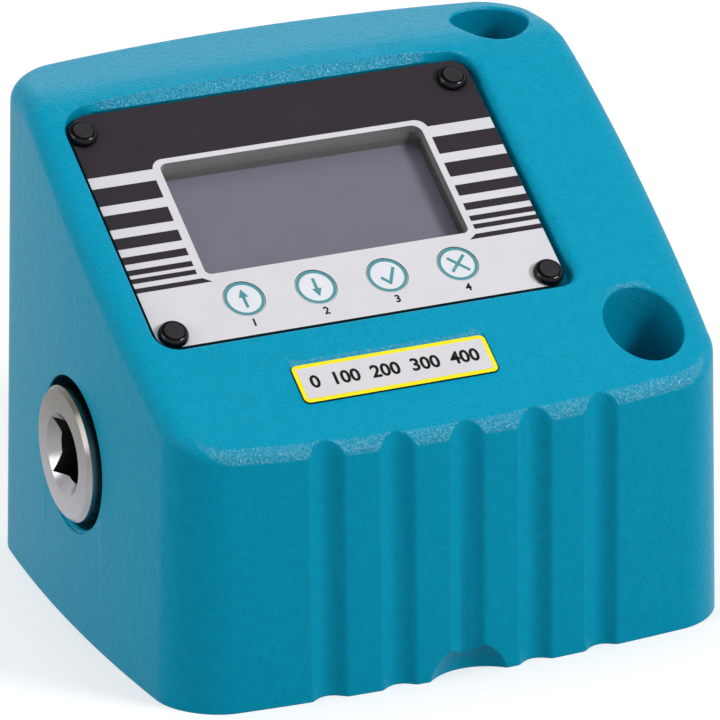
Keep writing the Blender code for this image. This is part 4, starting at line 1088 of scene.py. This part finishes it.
def make_rivets():
    """Glossy button caps with a satin crown and a small foot."""
    low, steps = INNER_SKIN + 2 * GAP, 12
    rise = RIVET_HEAD_HEIGHT - RIVET_DOME - RIVET_FOOT
    profile = [(0, low), (RIVET_SHANK_R, low), (RIVET_SHANK_R, GAP / 2), (RIVET_HEAD_R - GAP / 3, GAP / 2),
               (RIVET_HEAD_R, RIVET_FOOT)]
    for step in range(1, steps + 1):
        angle = math.pi / 2 * step / steps
        profile.append((RIVET_CROWN_R + (RIVET_HEAD_R - RIVET_CROWN_R) * math.cos(angle),
                        RIVET_FOOT + rise * math.sin(angle)))
    profile += [(RIVET_CROWN_R * t, RIVET_HEAD_HEIGHT - RIVET_DOME * t ** 2) for t in (0.75, 0.5, 0.25, 0.0)]
    for number, (x, y) in enumerate(rivet_spots(), 1):
        place = FACIA @ Matrix.Translation((x, y, 0))
        rivet = turned(f"rivet_cap_{number}", profile, MEDIUM_STEPS, CAP_BLACK, place)
        paint_faces(rivet, (CAP_CROWN,), lambda middle, facing: int(
            middle.z > RIVET_HEAD_HEIGHT / 2 and middle.xy.length < RIVET_CROWN_R), place)
        add_piece(rivet, TESTER, "rivets", f"facia_rivet_{number}")


def make_display():
    """The window's clear pane in a collar whose upper wall leans, and the grey display under it."""
    pane = prism("window_pane", window_outline(GAP), RECESS_FLOOR - LENS_THICKNESS, RECESS_FLOOR, LENS_CLEAR,
                 FACIA)
    add_piece(pane, TESTER, "lens", "window_lens")
    collar_top = -PLATE_THICKNESS - GAP / 10
    module_low = -GLASS_DEPTH - MODULE_BELOW_GLASS
    module = prism("display_bezel", window_outline(LENS_MARGIN), module_low, collar_top, DISPLAY_FRAME, FACIA)
    opening = loft("collar_cutter", [
        [(x, y, -GLASS_DEPTH - GAP) for x, y in window_outline(0.0, COLLAR_LEAN)],
        [(x, y, -GLASS_DEPTH) for x, y in window_outline(0.0, COLLAR_LEAN)],
        [(x, y, collar_top) for x, y in window_outline(0.0)],
        [(x, y, collar_top + GAP) for x, y in window_outline(0.0)]], FACIA)
    cut(module, opening,
        prism("glass_well_cutter", window_outline(WELL_MARGIN), -GLASS_DEPTH - WELL_DEPTH,
              -GLASS_DEPTH - GAP / 10, matrix=FACIA))
    resharpen(module)
    add_piece(module, TESTER, "display_frame", "display_module")
    glass = prism("display_pane", window_outline(GLASS_MARGIN), -GLASS_DEPTH - GLASS_THICKNESS,
                  -GLASS_DEPTH - GAP / 5, DISPLAY_GREY, FACIA)
    add_piece(glass, TESTER, "display_glass", "display_glass")


def make_label():
    """The bordered label below the facia, with plain numerals."""
    low = PLATE_INSET - LABEL_POCKET + GAP
    high = low + LABEL_THICKNESS
    middle = (-LABEL_LEFT, -LABEL_DOWN)
    outline = rounded_rectangle(LABEL_WIDTH, LABEL_HEIGHT, LABEL_CORNER_R, 4, middle)
    label = prism("label_plate", outline, low, high, YELLOW_INK, FACIA)
    paint_faces(label, (PLATE_EDGE,), lambda middle, facing: int(facing.z < 0.5), FACIA)
    add_piece(label, TESTER, "label", "range_label")
    field = rounded_rectangle(LABEL_WIDTH - 2 * LABEL_BORDER, LABEL_HEIGHT - 2 * LABEL_BORDER, GAP, 3, middle)
    add_piece(prism("label_field", field, high - INK, high + INK, LABEL_FILM, FACIA), TESTER, "label")
    text_piece("label_numerals", "0  100  200  300  400", LABEL_TEXT_SIZE,
               FACIA @ Matrix.Translation((*middle, high + INK)), "label")


# Transducer and the rest

def make_transducer():
    """The steel hub with its countersunk square socket, the torsion shaft and the flange."""
    flange_front = HUB_LENGTH + TORSION_FILLET + TORSION_LENGTH
    neck = HUB_LENGTH + TORSION_FILLET
    profile = [(0, 0), (HUB_R - HUB_CHAMFER, 0), (HUB_R, HUB_CHAMFER), (HUB_R, HUB_LENGTH)]
    for step in range(1, LIP_STEPS + 1):
        angle = math.pi / 2 * step / LIP_STEPS
        profile.append((TORSION_R + TORSION_FILLET * (1 - math.sin(angle)),
                        neck - TORSION_FILLET * math.cos(angle)))
    flange_back = flange_front + FLANGE_THICKNESS
    profile += [(TORSION_R, flange_front), (FLANGE_R, flange_front), (FLANGE_R, flange_back),
                (0, flange_back)]
    hub = turned("drive_hub", profile, FINE_STEPS, HUB_STEEL, DRIVE)
    half = SQUARE / 2
    cone = [(0, -RUN_OUT), (COUNTERSINK_R + RUN_OUT, -RUN_OUT),
            (COUNTERSINK_R - COUNTERSINK_DEPTH, COUNTERSINK_DEPTH), (0, COUNTERSINK_DEPTH)]
    cut(hub, turned("countersink_cutter", cone, FINE_STEPS, matrix=DRIVE),
        prism("square_cutter", corner_spots(half, half), -RUN_OUT, SQUARE_DEPTH, matrix=DRIVE),
        rods("pilot_cutter", ON_AXIS, PILOT_R, -RUN_OUT, PILOT_DEPTH, matrix=DRIVE),
        rods("flange_hole_cutter", flange_screw_spots(), FLANGE_SCREW_R + GAP, flange_front - GAP,
             flange_back + GAP, HOLE_STEPS, matrix=DRIVE))

    # The walls of the square and of the pilot hole get a much darker steel than the hub
    def in_socket(middle, facing):
        inside = middle.xy.length < COUNTERSINK_R and middle.z > GAP
        return int(inside and (abs(facing.z) < 0.3 or middle.z > COUNTERSINK_DEPTH))

    paint_faces(hub, (SOCKET_STEEL,), in_socket, DRIVE)
    resharpen(hub)
    add_piece(hub, TESTER, "transducer", "torque_transducer")


def dress_nodes():
    """Finer materials for the CAD nodes that stay."""
    kinds = {"base_plate": ZINC, "power_inlet": SOCKET_BLACK, "gauge_sleeve": SLEEVE_BLACK,
             "gauge_lead": LEAD_RED, "power_lead": LEAD_RED, "circuit_board": BOARD_GREEN, "inlet_nut": ZINC}
    for name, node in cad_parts.items():
        material = kinds.get(name)
        if "screw" in name:
            material = ZINC
        if name.startswith("key_switch"):
            material = SOCKET_BLACK
        if material and not node.hide_render:
            for slot in node.material_slots:
                slot.material = material


# Stage, light and camera

def background_rays(tree):
    """1 for rays from the camera, in a mirror or through glass, and 1 for those in a mirror alone."""
    path = add_node(tree, "ShaderNodeLightPath").outputs
    shown = combine(tree, "MAXIMUM", path["Is Camera Ray"], path["Is Glossy Ray"])
    return combine(tree, "MAXIMUM", shown, path["Is Transmission Ray"]), path["Is Glossy Ray"]


def mix_shaders(tree, factor, first, second, output):
    mix = add_node(tree, "ShaderNodeMixShader")
    link(tree, factor, mix.inputs["Fac"])
    link(tree, first, mix.inputs[1])
    link(tree, second, mix.inputs[2])
    link(tree, mix.outputs["Shader"], output.inputs["Surface"])


def make_stage():
    """A floor that looks white, keeps the shadow, and throws only a little light back up."""
    mesh_data = bmesh.new()
    bmesh.ops.create_grid(mesh_data, x_segments=1, y_segments=1, size=6.0)
    floor = to_object("floor", mesh_data, smooth=False)
    material, tree, shader = new_material("floor_white", (FLOOR_BOUNCE,) * 3, roughness=0.9, specular=0.1)
    shown, _ = background_rays(tree)
    white = add_node(tree, "ShaderNodeBsdfDiffuse", Color=(FLOOR_WHITE, FLOOR_WHITE, FLOOR_WHITE, 1.0))
    glow = add_node(tree, "ShaderNodeEmission", Color=WHITE, Strength=FLOOR_GLOW)
    both = add_node(tree, "ShaderNodeAddShader")
    link(tree, white.outputs["BSDF"], both.inputs[0])
    link(tree, glow.outputs["Emission"], both.inputs[1])
    mix_shaders(tree, shown, shader.outputs["BSDF"], both.outputs["Shader"], tree.nodes["Material Output"])
    floor.data.materials.append(material)


def make_world():
    """A soft studio: it lights the object gently, is white behind it and has a dim ceiling in reflections."""
    world = bpy.data.worlds.new("studio")
    bpy.context.scene.world = world
    world.use_nodes = True
    tree = world.node_tree
    tree.nodes.clear()
    light = add_node(tree, "ShaderNodeBackground", Color=WHITE, Strength=WORLD_LIGHT)
    seen = add_node(tree, "ShaderNodeBackground", Color=WHITE)
    shown, mirrored = background_rays(tree)
    up = split(tree, add_node(tree, "ShaderNodeTexCoord").outputs["Generated"])["Z"]
    ceiling = ramp(tree, up, CEILING_FROM, CEILING_TO, 1.0, CEILING_LIGHT, "SMOOTHSTEP")
    strength = add_node(tree, "ShaderNodeMix", data_type="FLOAT", A=1.0)
    link(tree, mirrored, strength.inputs["Factor"])
    link(tree, ceiling, strength.inputs["B"])
    link(tree, strength.outputs["Result"], seen.inputs["Strength"])
    mix_shaders(tree, shown, light.outputs["Background"], seen.outputs["Background"],
                add_node(tree, "ShaderNodeOutputWorld"))


def add_lamp(name, place, size, watts, in_mirrors):
    lamp = bpy.data.lights.new(name, "AREA")
    lamp.shape = "RECTANGLE"
    lamp.size, lamp.size_y = size
    lamp.energy = watts
    obj = bpy.data.objects.new(name, lamp)
    obj.location = place
    obj.rotation_euler = (LAMP_TARGET - Vector(place)).to_track_quat("-Z", "Y").to_euler()
    obj.visible_glossy = in_mirrors
    bpy.context.scene.collection.objects.link(obj)


def make_lights():
    add_lamp("key_lamp", (0.757, -0.811, 0.79), (0.42, 0.24), KEY_WATTS, True)
    add_lamp("top_lamp", (-0.1, 0.25, 1.1), (0.9, 0.7), TOP_WATTS, False)
    add_lamp("left_lamp", (-1.1, -0.1, 0.5), (0.7, 0.7), LEFT_WATTS, True)
    add_lamp("back_lamp", (0.56, 1.27, 0.62), (1.0, 0.6), BACK_WATTS, True)


def make_camera():
    camera = bpy.data.cameras.new("camera")
    camera.lens = CAMERA_LENS
    camera.clip_start = 0.05
    obj = bpy.data.objects.new("camera", camera)
    obj.location = CAMERA_PLACE
    obj.rotation_euler = (math.pi / 2 - CAMERA_DOWN, 0.0, CAMERA_TURN)
    bpy.context.scene.collection.objects.link(obj)
    bpy.context.scene.camera = obj


make_housing()
make_plate()
make_print()
make_keys()
make_rivets()
make_display()
make_label()
make_transducer()
dress_nodes()
make_stage()
make_world()
make_lights()
make_camera()
bpy.context.scene.view_settings.view_transform = "Standard"
